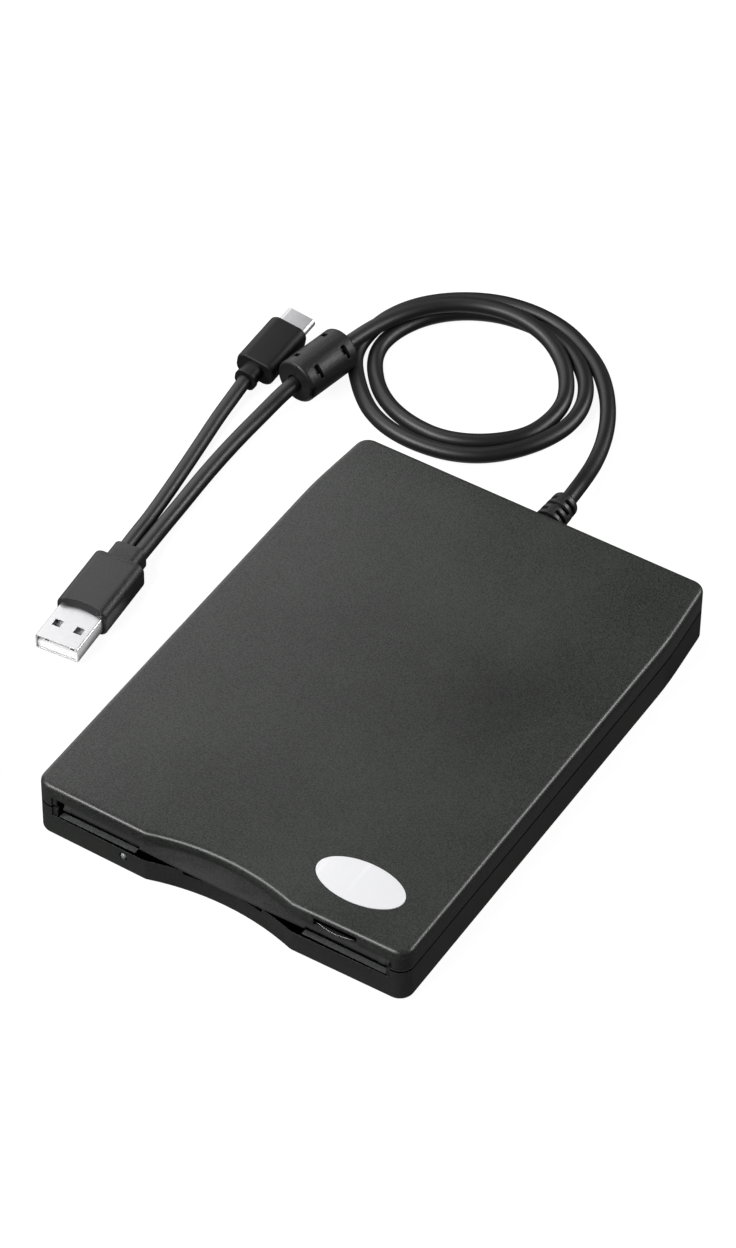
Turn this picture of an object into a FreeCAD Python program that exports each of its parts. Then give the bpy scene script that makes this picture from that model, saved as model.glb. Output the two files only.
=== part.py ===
import FreeCAD, Part
import math
import os
import Sketcher

# External USB floppy disk drive. Frame: X to the right seen from the front, Y to the back, Z up.
# Origin: on the surface the rubber feet stand on, under the middle of the case. Millimetres.

V = FreeCAD.Vector
doc = FreeCAD.newDocument("floppy_drive")
dims = doc.addObject("Spreadsheet::Sheet", "dims")

CELLS = [
    # case outline
    ("case_half", 51.2), ("rear_half", 49.35), ("front_y", -70.55), ("front_bow", 0.4), ("back_y", 71.45),
    ("bend_start", 45.35), ("bend_end", 55.35), ("bend_half", 50.76), ("bend_rad", 113.0),
    ("grip_half", 20.1), ("grip_depth", 3.1), ("corner_rad", 3.75), ("roof_rad", 1.4), ("base_rad", 0.7),
    ("wall", 1.8), ("grip_wall", 1.55), ("seam_groove", 0.16),
    ("base_z", 1.2), ("floor_z", 2.6), ("seam_z", 10.8), ("ceiling_z", 15.92), ("roof_z", 17.32),
    # disk slot
    ("slot_left", -46.5), ("slot_right", 46.8), ("slot_top", 11.9), ("rim_end_z", 7.95), ("rim_low_z", 7.8),
    ("rim_grip_z", 7.9), ("notch_z", 6.7), ("notch_half", 10.8), ("strip_top", 7.9), ("strip_depth", 1.8), ("strip_front", -69.8), ("strip_left_end", -23.45), ("strip_right_end", 22.85),
    ("latch_right", -42.6), ("latch_top", 13.85),
    # eject button and its window
    ("window_left", 26.5), ("window_right", 38.0), ("window_low", 13.9), ("window_high", 16.2), ("button_gap", 0.2),
    ("button_bow", 1.0),
    # lamp
    ("lamp_x", -26.3), ("lamp_z", 5.7), ("lamp_rad", 0.88),
    # badge
    ("badge_x", 30.4), ("badge_y", -56.45), ("badge_semi_x", 11.6), ("badge_semi_y", 6.25), ("badge_thick", 0.25),
    # feet and case screws
    ("foot_rad", 4.5), ("foot_inset", 0.4), ("foot_x", 39.0), ("foot_front", -54.0), ("foot_rear", 55.0),
    ("post_x", 44.5), ("post_y", 66.0), ("post_rad", 2.9), ("screw_rad", 0.8), ("head_rad", 1.6),
    # drive chassis
    ("pan_half", 47.65), ("pan_gauge", 0.7), ("pan_front", -65.4), ("pan_rear", 60.0), ("pan_z", 3.9),
    ("pan_thick", 0.8), ("side_top", 12.6), ("boss_x", 38.0), ("boss_front", -40.0), ("boss_rear", 52.0),
    ("boss_rad", 3.0), ("small_screw", 0.9),
    # spindle
    ("spindle_y", -23.55), ("rotor_rad", 20.0), ("hub_rad", 12.5), ("hub_top", 6.9), ("shaft_rad", 2.0),
    ("shaft_play", 0.03), ("pin_offset", 10.2), ("drive_pin_rad", 1.2),
    # heads
    ("rod_x", 11.0), ("rod_z", 5.15), ("rod_rad", 1.2), ("rod_play", 0.03), ("head_y", 15.95),
    ("screw_x", 14.5), ("leadscrew_z", 8.4), ("leadscrew_rad", 1.5), ("screw_pitch", 3.75),
    # disk holder, slider
    ("disk_half", 45.0), ("disk_low", 8.05), ("disk_high", 11.35), ("holder_wall", 45.35), ("holder_gauge", 0.6),
    ("holder_front", -65.4), ("holder_rear", 23.0), ("pin_rad", 1.0), ("pin_z", 10.0), ("pin_front", -50.0),
    ("pin_rear", 10.0), ("eject_travel", 3.5), ("drop", 1.5), ("overtravel", 0.6),
    ("slider_z", 13.6), ("slider_gauge", 0.5), ("slider_wall", 46.15),
    # lead
    ("cord_rad", 2.1), ("branch_rad", 1.9), ("gland_x", 0.45), ("gland_z", 6.7), ("gland_base", 4.3),
    ("gland_tip", 3.5), ("gland_end", 87.4), ("gland_slot", 1.3),
    ("ferrite_rad", 6.1), ("ferrite_len", 18.0),
    ("plug_a_w", 14.0), ("plug_a_thick", 8.0), ("plug_a_len", 19.8), ("shell_a_w", 12.0), ("shell_a_thick", 4.5),
    ("shell_a_len", 12.0), ("plug_c_w", 11.0), ("plug_c_thick", 7.0), ("plug_c_len", 17.3), ("shell_c_w", 8.34),
    ("shell_c_thick", 2.56), ("shell_c_len", 6.5),
]
for row, (alias, value) in enumerate(CELLS, 1):
    dims.set("A%d" % row, alias)
    dims.set("B%d" % row, "%.6g" % value)
    dims.setAlias("B%d" % row, alias)
doc.recompute()


class Q:
    """A number that remembers how it follows from the sheet."""

    def __init__(self, value, text):
        self.v, self.t = float(value), text

    def __add__(self, o):
        o = q(o)
        return Q(self.v + o.v, "(%s + %s)" % (self.t, o.t))

    def __radd__(self, o):
        return q(o) + self

    def __sub__(self, o):
        o = q(o)
        return Q(self.v - o.v, "(%s - %s)" % (self.t, o.t))

    def __rsub__(self, o):
        return q(o) - self

    def __mul__(self, o):
        o = q(o)
        return Q(self.v * o.v, "(%s * %s)" % (self.t, o.t))

    def __rmul__(self, o):
        return q(o) * self

    def __truediv__(self, o):
        o = q(o)
        return Q(self.v / o.v, "(%s / %s)" % (self.t, o.t))

    def __neg__(self):
        return Q(-self.v, "(0 - %s)" % self.t)


def q(x):
    return x if isinstance(x, Q) else Q(x, "%.9g" % x if x >= 0 else "(0 - %.9g)" % -x)


class Dims:
    def __getattr__(self, name):
        return TABLE[name]


TABLE = {alias: Q(value, "dims." + alias) for alias, value in CELLS}
D = Dims()
count = [0]
nodes = []


def tick(stem):
    count[0] += 1
    return "%s_%d" % (stem, count[0])


def bind(obj, prop, size):
    size = q(size)
    if "dims." in size.t:
        obj.setExpression(prop, size.t)


def body(label):
    b = doc.addObject("PartDesign::Body", label)
    b.Label = label
    return b


def node(obj, label):
    obj.Label = label
    nodes.append((label, obj))
    return obj


def sketch(b, role, offset, loops):
    """A sketch on one of the body's origin planes. A loop is a list of vertices (x, y) or (x, y, radius), where a
    radius makes the edge from that vertex an arc (positive bulges to the right of travel), or ("circle", x, y, r)."""
    sk = b.newObject("Sketcher::SketchObject", tick("sketch"))
    plane = [f for f in b.Origin.OriginFeatures if f.Role == role][0]
    sk.AttachmentSupport = [(plane, "")]
    sk.MapMode = "FlatFace"
    offset = q(offset)
    sk.AttachmentOffset = FreeCAD.Placement(V(0, 0, offset.v), FreeCAD.Rotation())
    bind(sk, "AttachmentOffset.Base.z", offset)
    geo, cons, exprs = [], [], []

    def con(c, size=None):
        cons.append(c)
        if size is not None and "dims." in q(size).t:
            exprs.append((len(cons) - 1, q(size).t))

    for loop in loops:
        if loop[0] == "circle":
            cx, cy, r = (q(k) for k in loop[1:])
            g = len(geo)
            geo.append(Part.Circle(V(cx.v, cy.v, 0), V(0, 0, 1), r.v))
            con(Sketcher.Constraint("DistanceX", -1, 1, g, 3, cx.v), cx)
            con(Sketcher.Constraint("DistanceY", -1, 1, g, 3, cy.v), cy)
            con(Sketcher.Constraint("Radius", g, r.v), r)
            continue
        pts = [tuple(q(k) for k in p) for p in loop]
        n, first = len(pts), len(geo)
        ends = []
        for i, p in enumerate(pts):
            w = pts[(i + 1) % n]
            a, e = V(p[0].v, p[1].v, 0), V(w[0].v, w[1].v, 0)
            if len(p) == 3:
                r, chord = abs(p[2].v), (e - a)
                mid = (a + e) * 0.5
                left = V(-chord.y, chord.x, 0).normalize()
                rise = math.sqrt(max(r * r - (chord.Length / 2) ** 2, 0.0))
                ccw = p[2].v > 0
                c = mid + left * (rise if ccw else -rise)
                a0, a1 = math.atan2(a.y - c.y, a.x - c.x), math.atan2(e.y - c.y, e.x - c.x)
                if not ccw:
                    a0, a1 = a1, a0
                while a1 < a0:
                    a1 += 2 * math.pi
                geo.append(Part.ArcOfCircle(Part.Circle(c, V(0, 0, 1), r), a0, a1))
                ends.append((1, 2) if ccw else (2, 1))
            else:
                geo.append(Part.LineSegment(a, e))
                ends.append((1, 2))
        for i, p in enumerate(pts):
            g = first + i
            con(Sketcher.Constraint("Coincident", g, ends[i][1], first + (i + 1) % n, ends[(i + 1) % n][0]))
            con(Sketcher.Constraint("DistanceX", -1, 1, g, ends[i][0], p[0].v), p[0])
            con(Sketcher.Constraint("DistanceY", -1, 1, g, ends[i][0], p[1].v), p[1])
            if len(p) == 3:
                w = pts[(i + 1) % n]
                r = p[2] if p[2].v > 0 else -p[2]
                dx, dy = abs(w[0].v - p[0].v), abs(w[1].v - p[1].v)
                if 2 * r.v > 1.002 * math.hypot(dx, dy):
                    con(Sketcher.Constraint("Radius", g, r.v), r)
                elif dx > dy:
                    m = (p[1] + w[1]) / 2
                    con(Sketcher.Constraint("DistanceY", -1, 1, g, 3, m.v), m)
                else:
                    m = (p[0] + w[0]) / 2
                    con(Sketcher.Constraint("DistanceX", -1, 1, g, 3, m.v), m)
    sk.addGeometry(geo, False)
    sk.addConstraint(cons)
    for i, text in exprs:
        sk.setExpression("Constraints[%d]" % i, text)
    sk.Visibility = False
    return sk


def grow(b, sk, length, both=False, back=False):
    f = b.newObject("PartDesign::Pad", tick("pad"))
    f.Profile = sk
    f.Length = q(length).v
    bind(f, "Length", length)
    f.Midplane = both
    f.Reversed = back
    return f


def carve(b, sk, length, both=False, back=False):
    f = b.newObject("PartDesign::Pocket", tick("pocket"))
    f.Profile = sk
    f.Length = q(length).v
    bind(f, "Length", length)
    f.Midplane = both
    f.Reversed = back
    return f


def rect(x0, x1, y0, y1):
    return [(x0, y0), (x1, y0), (x1, y1), (x0, y1)]


def slab(b, x0, x1, y0, y1, z0, z1):
    return grow(b, sketch(b, "XY_Plane", z0, [rect(x0, x1, y0, y1)]), q(z1) - z0)


def trench(b, x0, x1, y0, y1, z0, z1):
    return carve(b, sketch(b, "XY_Plane", z1, [rect(x0, x1, y0, y1)]), q(z1) - z0)


def plate(b, loops, z0, z1):
    return grow(b, sketch(b, "XY_Plane", z0, loops), q(z1) - z0)


def plate_cut(b, loops, z0, z1):
    return carve(b, sketch(b, "XY_Plane", z1, loops), q(z1) - z0)


def along_y(b, loops, y0, y1):
    """Profile in X and Z, from y0 to y1."""
    return grow(b, sketch(b, "XZ_Plane", -q(y1), loops), q(y1) - y0)


def along_y_cut(b, loops, y0, y1):
    return carve(b, sketch(b, "XZ_Plane", -q(y0), loops), q(y1) - y0)


def along_x(b, loops, x0, x1):
    """Profile in Y and Z, from x0 to x1."""
    return grow(b, sketch(b, "YZ_Plane", x0, loops), q(x1) - x0)


def along_x_cut(b, loops, x0, x1):
    return carve(b, sketch(b, "YZ_Plane", x1, loops), q(x1) - x0)


def round_edges(b, feature, radius, keep, chamfer=False):
    doc.recompute()
    names = ["Edge%d" % (i + 1) for i, e in enumerate(feature.Shape.Edges) if keep(e)]
    f = b.newObject("PartDesign::Chamfer" if chamfer else "PartDesign::Fillet", tick("edge"))
    f.Base = (feature, names)
    size = q(radius)
    if chamfer:
        f.Size = size.v
        bind(f, "Size", size)
    else:
        f.Radius = size.v
        bind(f, "Radius", size)
    return f


def upright(e):
    return len(e.Vertexes) == 2 and abs(e.Vertexes[0].X - e.Vertexes[1].X) < 1e-6 and abs(
        e.Vertexes[0].Y - e.Vertexes[1].Y) < 1e-6


def level(z):
    z = q(z).v
    return lambda e: abs(e.BoundBox.ZMin - z) < 1e-4 and abs(e.BoundBox.ZMax - z) < 1e-4


def prim(kind, label=None, at=(0, 0, 0), turn=None, **sizes):
    """A Part primitive whose sizes and place are bound to the sheet."""
    o = doc.addObject("Part::" + kind, label or tick(kind.lower()))
    for k, s in sizes.items():
        setattr(o, k, q(s).v)
        bind(o, k, s)
    pos = [q(k) for k in at]
    o.Placement = FreeCAD.Placement(V(*(k.v for k in pos)), turn or FreeCAD.Rotation())
    for axis, k in zip("xyz", pos):
        bind(o, "Placement.Base." + axis, k)
    return o


def fuse(label, parts):
    o = doc.addObject("Part::MultiFuse", label)
    o.Shapes = parts
    return o


def minus(label, base, tool):
    o = doc.addObject("Part::Cut", label)
    o.Base, o.Tool = base, tool
    return o


def group(label, parts):
    o = doc.addObject("Part::Compound", label)
    o.Links = parts
    return o


def feature(label, shape):
    o = doc.addObject("Part::Feature", label)
    o.Shape = shape
    return o


ALONG_Y = FreeCAD.Rotation(V(1, 0, 0), -90)
ALONG_X = FreeCAD.Rotation(V(0, 1, 0), 90)

# ------------------------------------------------------------------ case
grip_rad = (D.grip_half * D.grip_half + D.grip_depth * D.grip_depth) / (2 * D.grip_depth)


def outline():
    """The case seen from above: bowed front with the concave finger grip, sides that bend inwards behind."""
    return [
        (-D.case_half, D.front_y + D.front_bow), (-D.grip_half, D.front_y, -grip_rad), (D.grip_half, D.front_y),
        (D.case_half, D.front_y + D.front_bow), (D.case_half, D.bend_start, D.bend_rad), (D.bend_half, D.bend_end),
        (D.rear_half, D.back_y), (-D.rear_half, D.back_y), (-D.bend_half, D.bend_end, D.bend_rad),
        (-D.case_half, D.bend_start),
    ]


def cavity():
    side = D.case_half - D.wall
    return [
        (-side, D.front_y + D.wall + 0.1), (-24, D.front_y + D.wall), (-12, D.front_y + D.grip_depth + D.grip_wall),
        (12, D.front_y + D.grip_depth + D.grip_wall), (24, D.front_y + D.wall), (side, D.front_y + D.wall + 0.1),
        (side, D.bend_start + 5), (D.rear_half - D.wall, D.back_y - D.wall),
        (-(D.rear_half - D.wall), D.back_y - D.wall), (-side, D.bend_start + 5),
    ]


# Top cover: shell, then the sloping lip over the slot, the slot itself and the button's window.
top = body("top_shell")
blank = plate(top, [outline()], D.seam_z, D.roof_z)
kinks = lambda e: upright(e) and abs(abs(e.Vertexes[0].X) - D.grip_half.v) < 0.1
corners = lambda e: upright(e) and (abs(abs(e.Vertexes[0].X) - D.case_half.v) < 0.1 and e.Vertexes[0].Y < 0
                                    or abs(e.Vertexes[0].Y - D.back_y.v) < 0.1)
rounded = round_edges(top, blank, D.corner_rad, corners)
rounded = round_edges(top, rounded, 2.2, kinks)
rounded = round_edges(top, rounded, D.roof_rad, level(D.roof_z))
rounded = round_edges(top, rounded, D.seam_groove, level(D.seam_z), chamfer=True)
plate_cut(top, [cavity()], D.seam_z - 1, D.ceiling_z)


def front_wall(x):
    return (D.front_y.v + D.grip_depth.v - (grip_rad.v - math.sqrt(grip_rad.v ** 2 - x * x))
            if abs(x) <= D.grip_half.v else
            D.front_y.v + D.front_bow.v * (abs(x) - D.grip_half.v) / (D.case_half.v - D.grip_half.v))


def ease(x, a, b):
    k = min(max((x - a) / (b - a), 0.0), 1.0)
    return k * k * (3 - 2 * k)


def lip_section(x, side=False, proud=0.0):
    """The lip's outline at one place across the front: under edge, front edge, foot of the slope, root."""
    wall_y = front_wall(x)
    edge_y = (-70.95 if side else -71.45 + x * x * 0.9 / 46.8 ** 2) - proud
    edge_z = 12.67 if side else 11.87 + 0.16 * (x / 20.0) ** 2
    under = edge_z - 0.12
    high = 13.85 + 0.7 * (1 - min(abs(x) / D.grip_half.v, 1.0) ** 2) + proud * 0.3
    slope_y, slope_z = wall_y + 0.35, high + 0.35 * (high - edge_z) / max(wall_y - edge_y, 0.3) * 0.9
    slope_z = min(slope_z, high + 0.5)
    back = wall_y + 1.25
    pts = [V(x, back, under), V(x, edge_y + 0.12, under), V(x, edge_y, edge_z), V(x, slope_y, slope_z),
           V(x, back, slope_z)]
    return Part.makePolygon(pts + [pts[0]])


lip_parts = []
for name, stations, side, proud in (("lip_left_tab", [-42.6, -40.6], True, 0.14),
                                    ("lip_left", [-40.7, -36, -31, -26, -21.0], True, 0.0),
                                    ("lip_left_step", [-21.1, -20.1], False, 0.0),
                                    ("lip_middle", [-20.1, -17, -13, -9, -4.5, 0, 4.5, 9, 13, 17, 20.1], False, 0.0),
                                    ("lip_right_step", [20.1, 24.6], False, 0.0),
                                    ("lip_right", [24.5, 30, 35, 40, 44.6], True, 0.0),
                                    ("lip_right_tab", [44.5, 46.2], True, 0.14),
                                    ("lip_right_end", [46.1, 47.0], True, 0.0)):
    lip_parts.append(feature(name, Part.makeLoft([lip_section(x, side, proud) for x in stations], True, False)))
slot_box = prim("Box", "slot_opening", at=(D.slot_left, -75, D.seam_z - 2), Length=D.slot_right - D.slot_left,
                Width=9.8, Height=D.slot_top - D.seam_z + 2)
latch_box = prim("Box", "latch_opening", at=(D.slot_left, -75, D.seam_z - 2), Length=D.latch_right - D.slot_left,
                 Width=6.6, Height=D.latch_top - D.seam_z + 2)
open_top = minus("top_shell_open", top, fuse("front_openings", [slot_box, latch_box]))
# a block that stands back inside the opening's left end
posts = [prim("Box", at=(D.slot_left - 0.2, -69.9, 11.35), Length=1.5, Width=1.0, Height=D.latch_top - 11.35 + 0.2)]
for side in (-1, 1):
    posts.append(prim("Cylinder", at=(side * D.post_x, D.post_y, 9.1), Radius=2.5, Height=D.ceiling_z - 9.1 + 0.5))
    # side ribs that hook over the bottom cover's wall near the front
    posts.append(prim("Box", at=(side * 48.55 - 0.45, -40, 9.3), Length=0.9, Width=9, Height=7.0))
    posts.append(prim("Box", at=(side * 48.55 - 0.45, 20, 9.3), Length=0.9, Width=9, Height=7.0))
# the tongue that closes the bottom cover's notch above the gland
posts.append(prim("Box", at=(D.gland_x - 3.6, D.back_y - D.wall + 0.0, 10.45), Length=7.2, Width=1.6, Height=2.0))
solid_top = fuse("top_shell_full", [open_top] + lip_parts + posts)
window = prim("Box", "button_window", at=(D.window_left, -75, D.window_low), Length=D.window_right - D.window_left,
              Width=9, Height=D.window_high - D.window_low)
pilots = [prim("Cylinder", at=(side * D.post_x, D.post_y, 9.0), Radius=D.screw_rad, Height=5.6) for side in (-1, 1)]
top_cover = node(minus("top_cover", solid_top, fuse("top_cuts", [window] + pilots)), "top_cover")

# Bottom cover: floor, walls, the slot's lower rim with its finger notch, lamp hole, gland notch, screw posts.
low = body("bottom_cover")
blank = plate(low, [outline()], D.base_z, D.seam_z)
rounded = round_edges(low, blank, D.corner_rad, corners)
rounded = round_edges(low, rounded, 2.2, kinks)
rounded = round_edges(low, rounded, D.base_rad, level(D.base_z))
rounded = round_edges(low, rounded, D.seam_groove, level(D.seam_z), chamfer=True)
plate_cut(low, [cavity()], D.floor_z, D.seam_z + 1)
along_y_cut(low, [[
    (D.slot_left, 12), (D.slot_left, D.rim_end_z), (-D.grip_half - 1.5, D.rim_low_z), (-D.grip_half, D.rim_grip_z),
    (-D.notch_half - 0.25, D.rim_grip_z), (-D.notch_half, D.notch_z), (D.notch_half, D.notch_z),
    (D.notch_half + 0.25, D.rim_grip_z), (D.grip_half, D.rim_grip_z), (D.grip_half + 1.5, D.rim_low_z),
    (D.slot_right, D.rim_end_z), (D.slot_right, 12)]], -75, -65.2)
along_y_cut(low, [("circle", D.lamp_x, D.lamp_z, D.lamp_rad + 0.25)], -75, -68)
for x0, x1, y0, y1 in ((D.slot_left + 1.55, D.strip_left_end + 0.15, D.strip_front - 0.12, D.strip_front - 0.42),
                       (D.strip_right_end - 0.15, D.slot_right - 1.15, D.strip_front - 0.42, D.strip_front - 0.12)):
    plate_cut(low, [[(x0, y0), (x1, y1), (x1, -68.0), (x0, -68.0)]], 5.1, 12)
slab(low, D.slot_left - 0.2, D.slot_left + 1.45, -69.9, -68.9, 7.0, 10.4)
slab(low, D.slot_right - 1.05, D.slot_right + 0.2, -69.9, -68.9, 7.0, 10.3)
along_y_cut(low, [[(D.gland_x + 3.7, 12), (D.gland_x - 3.7, 12), (D.gland_x - 3.7, D.gland_z, 3.7),
                   (D.gland_x + 3.7, D.gland_z)]], D.back_y - 2.5, D.back_y + 1)
for side in (-1, 1):
    plate(low, [("circle", side * D.post_x, D.post_y, D.post_rad)], D.floor_z - 0.4, 9.0)
    for y in (D.boss_front, D.boss_rear):
        plate(low, [("circle", side * D.boss_x, y, D.boss_rad)], D.floor_z - 0.4, D.pan_z)
for side in (-1, 1):
    plate_cut(low, [("circle", side * D.post_x, D.post_y, D.screw_rad + 0.2)], 1.0, 9.5)
    plate_cut(low, [("circle", side * D.post_x, D.post_y, 2.1)], 1.0, 6.5)
    for y in (D.boss_front, D.boss_rear):
        plate_cut(low, [("circle", side * D.boss_x, y, D.small_screw - 0.2)], 1.9, 5)
    for y in (D.foot_front, D.foot_rear):
        plate_cut(low, [("circle", side * D.foot_x, y, D.foot_rad + 0.15)], 1.0, D.base_z + D.foot_inset)
node(low, "bottom_cover")

# Blank oval badge on the roof.
badge = body("oval_badge")
sk = badge.newObject("Sketcher::SketchObject", "badge_outline")
sk.AttachmentSupport = [([f for f in badge.Origin.OriginFeatures if f.Role == "XY_Plane"][0], "")]
sk.MapMode = "FlatFace"
bind(sk, "AttachmentOffset.Base.z", D.roof_z)
oval = Part.Ellipse(V(D.badge_semi_x.v, 0, 0), V(0, D.badge_semi_y.v, 0), V(0, 0, 0))
oval.Center = V(D.badge_x.v, D.badge_y.v, 0)
sk.addGeometry(oval, False)
sk.exposeInternalGeometry(0)
sk.addConstraint([Sketcher.Constraint("DistanceX", -1, 1, 0, 3, D.badge_x.v),
                  Sketcher.Constraint("DistanceY", -1, 1, 0, 3, D.badge_y.v),
                  Sketcher.Constraint("Horizontal", 1)])
base = sk.ConstraintCount
sk.addConstraint([Sketcher.Constraint("Distance", 1, 2 * D.badge_semi_x.v),
                  Sketcher.Constraint("Distance", 2, 2 * D.badge_semi_y.v)])
sk.setExpression("Constraints[%d]" % (base - 3), D.badge_x.t)
sk.setExpression("Constraints[%d]" % (base - 2), D.badge_y.t)
sk.setExpression("Constraints[%d]" % base, (2 * D.badge_semi_x).t)
sk.setExpression("Constraints[%d]" % (base + 1), (2 * D.badge_semi_y).t)
pad = grow(badge, sk, D.badge_thick)
round_edges(badge, pad, 0.1, level(D.roof_z + D.badge_thick))
node(badge, "oval_badge")

feet = []
for side in (-1, 1):
    for y in (D.foot_front, D.foot_rear):
        feet.append(prim("Cylinder", at=(side * D.foot_x, y, 0), Radius=D.foot_rad, Height=D.base_z + D.foot_inset))
node(group("rubber_feet", feet), "rubber_feet")

screws = []
for side in (-1, 1):
    shank = prim("Cylinder", at=(side * D.post_x, D.post_y, 6.4), Radius=D.screw_rad, Height=7.6)
    head = prim("Cylinder", at=(side * D.post_x, D.post_y, 5.3), Radius=D.head_rad, Height=1.2)
    cross = prim("Box", at=(side * D.post_x - 0.8, D.post_y - 0.2, 5.2), Length=1.6, Width=0.4, Height=0.7)
    cross2 = prim("Box", at=(side * D.post_x - 0.2, D.post_y - 0.8, 5.2), Length=0.4, Width=1.6, Height=0.7)
    screws.append(minus(tick("screw"), fuse(tick("screw_blank"), [shank, head]),
                        fuse(tick("recess"), [cross, cross2])))
node(group("case_screws", screws), "case_screws")

# Activity lamp: a clear dome in the bottom cover's front wall, with its body behind it.
lamp = body("activity_lamp")
rev = sketch(lamp, "XZ_Plane", 0, [[(0, 0), (0, 5.0), (1.5, 5.0), (1.5, 4.2), (D.lamp_rad, 4.2),
                                   (D.lamp_rad, 0.7, -0.95), (0.35, 0.0)]])
turn = lamp.newObject("PartDesign::Revolution", "lamp_turn")
turn.Profile = rev
turn.ReferenceAxis = (rev, ["V_Axis"])
turn.Angle = 360
lamp.Placement = FreeCAD.Placement(V(D.lamp_x.v, D.front_y.v - 0.25, D.lamp_z.v), FreeCAD.Rotation(V(1, 0, 0), -90))
bind(lamp, "Placement.Base.x", D.lamp_x)
bind(lamp, "Placement.Base.y", D.front_y - 0.25)
bind(lamp, "Placement.Base.z", D.lamp_z)
node(lamp, "activity_lamp")

# Grained strips inside the slot, behind the rim: the disk slides over them.
for label, x0, x1 in (("slot_strip_left", D.slot_left + 1.7, D.strip_left_end),
                      ("slot_strip_right", D.strip_right_end, D.slot_right - 1.3)):
    s = body(label)
    f = slab(s, x0, x1, D.strip_front, D.strip_front + D.strip_depth, 5.15, D.strip_top)
    round_edges(s, f, 0.2, lambda e: level(D.strip_top)(e) and e.Length > 5)
    if label == "slot_strip_left":
        trench(s, D.lamp_x - 2.0, D.lamp_x + 2.0, -70, -64, 5, 7.35)
    node(s, label)

# ------------------------------------------------------------------ eject button, slider, disk holder
button = body("eject_button")
left, right = D.window_left + D.button_gap, D.window_right - D.button_gap
face_y = D.front_y + 0.65
chord = (right - left) / 2
bow_rad = (chord * chord + D.button_bow * D.button_bow) / (2 * D.button_bow)
f = plate(button, [[(left, face_y, bow_rad), (right, face_y), (right, -67.0), (left, -67.0)]],
          D.window_low + D.button_gap, D.window_high - D.button_gap)
round_edges(button, f, 0.3, lambda e: e.BoundBox.YMax < -69.8 and level(D.window_low + D.button_gap)(e))
along_x_cut(button, [[(-71.6, 14.72), (-69.95, 14.8), (-69.95, 14.45), (-68.6, 14.45), (-68.6, 16.3), (-71.6, 16.3)]],
            left - 1, right + 1)
slab(button, left, right, -67.6, -60.5, D.slider_z + D.slider_gauge, 15.5)
slab(button, 30.5, 34.0, -63.4, -61.4, 12.9, D.slider_z + D.slider_gauge + 0.3)
node(button, "eject_button")

slider = body("eject_slider")
sw, sg, sz = D.slider_wall, D.slider_gauge, D.slider_z
plate(slider, [[(-sw - sg, -60), (28, -60), (28, -64.8), (36.5, -64.8), (36.5, -60), (sw + sg, -60), (sw + sg, 30),
                (-25, 30), (-25, 52), (-34, 52), (-34, 30), (-sw - sg, 30)],
               rect(-31, 31, -50, 24)], sz, sz + sg)
for side in (-1, 1):
    x0, x1 = (sw, sw + sg) if side > 0 else (-sw - sg, -sw)
    slab(slider, x0, x1, -58, 18, 7.6, sz + 0.2)
slab(slider, -33, -26, 51.4, 52, 9.2, sz + 0.2)
slab(slider, 30.5, 34.0, -61.4, -60.9, sz - 0.6, sz + 0.2)
trench(slider, 30.45, 34.05, -63.45, -61.4, sz - 1, sz + 1)
slope = D.drop / D.eject_travel
for y in (D.pin_front, D.pin_rear):
    ax, az = y - D.overtravel - 0.15, D.pin_z + (D.overtravel + 0.15) * slope
    bx, bz = y + D.eject_travel + 0.15, D.pin_z - (D.eject_travel + 0.15) * slope
    run = math.hypot(bx.v - ax.v, bz.v - az.v)
    ux, uz = (bx.v - ax.v) / run, (bz.v - az.v) / run
    r = 1.08
    loop = [(ax - uz * r * -1, az - ux * r * -1), (ax + uz * r * -1, az + ux * r * -1)]
    nx, nz = -uz * r, ux * r
    loop = [(ax + nx, az + nz, r), (ax - nx, az - nz), (bx - nx, bz - nz, r), (bx + nx, bz + nz)]
    along_x_cut(slider, [loop], -60, 60)
node(slider, "eject_slider")

holder = body("disk_holder")
hw, hg = D.holder_wall, D.holder_gauge
roof0 = D.disk_high + 0.15
rail0 = D.disk_low - 0.15 - 0.6
slab(holder, -hw - hg, hw + hg, D.holder_front, D.holder_rear, roof0, roof0 + hg)
for side in (-1, 1):
    x0, x1 = (hw, hw + hg) if side > 0 else (-hw - hg, -hw)
    slab(holder, x0, x1, D.holder_front, D.holder_rear, rail0, roof0 + 0.3)
    x0, x1 = (42.0, hw + hg) if side > 0 else (-hw - hg, -42.0)
    slab(holder, x0, x1, D.holder_front, D.holder_rear, rail0, rail0 + 0.6)
# opening for the upper head arm, and the arc the shutter lever's tip follows
slab(holder, 7.1, 9.2, 22, 33.5, roof0, roof0 + hg)
trench(holder, -6.0, 6.0, -8, 25, roof0 - 1, roof0 + 2)
lever_x, lever_y, lever_len = 36.0, 14.0, 25.06
a0, a1 = math.radians(-114.6), math.radians(-207.4)
arc = []
for rr in (lever_len + 1.9, lever_len - 1.9):
    arc.append([(lever_x + rr * math.cos(a0 + (a1 - a0) * k / 1.0), lever_y + rr * math.sin(a0 + (a1 - a0) * k / 1.0))
                for k in (0, 1)])
outer, inner = arc
plate_cut(holder, [[(outer[0][0], outer[0][1], -(lever_len + 1.9)), (outer[1][0], outer[1][1]),
                    (inner[1][0], inner[1][1], lever_len - 1.9), (inner[0][0], inner[0][1])]], roof0 - 1, roof0 + 2)
trench(holder, -24, 6, -52, -22, roof0 - 1, roof0 + 2)
plate(holder, [("circle", lever_x, lever_y, 1.2)], roof0 + 0.2, roof0 + 1.75)
for side in (-1, 1):
    for y in (D.pin_front, D.pin_rear):
        x0, x1 = (hw + 0.2, 47.5) if side > 0 else (-47.5, -hw - 0.2)
        along_x(holder, [("circle", y, D.pin_z, D.pin_rad)], x0, x1)
node(holder, "disk_holder")

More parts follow.
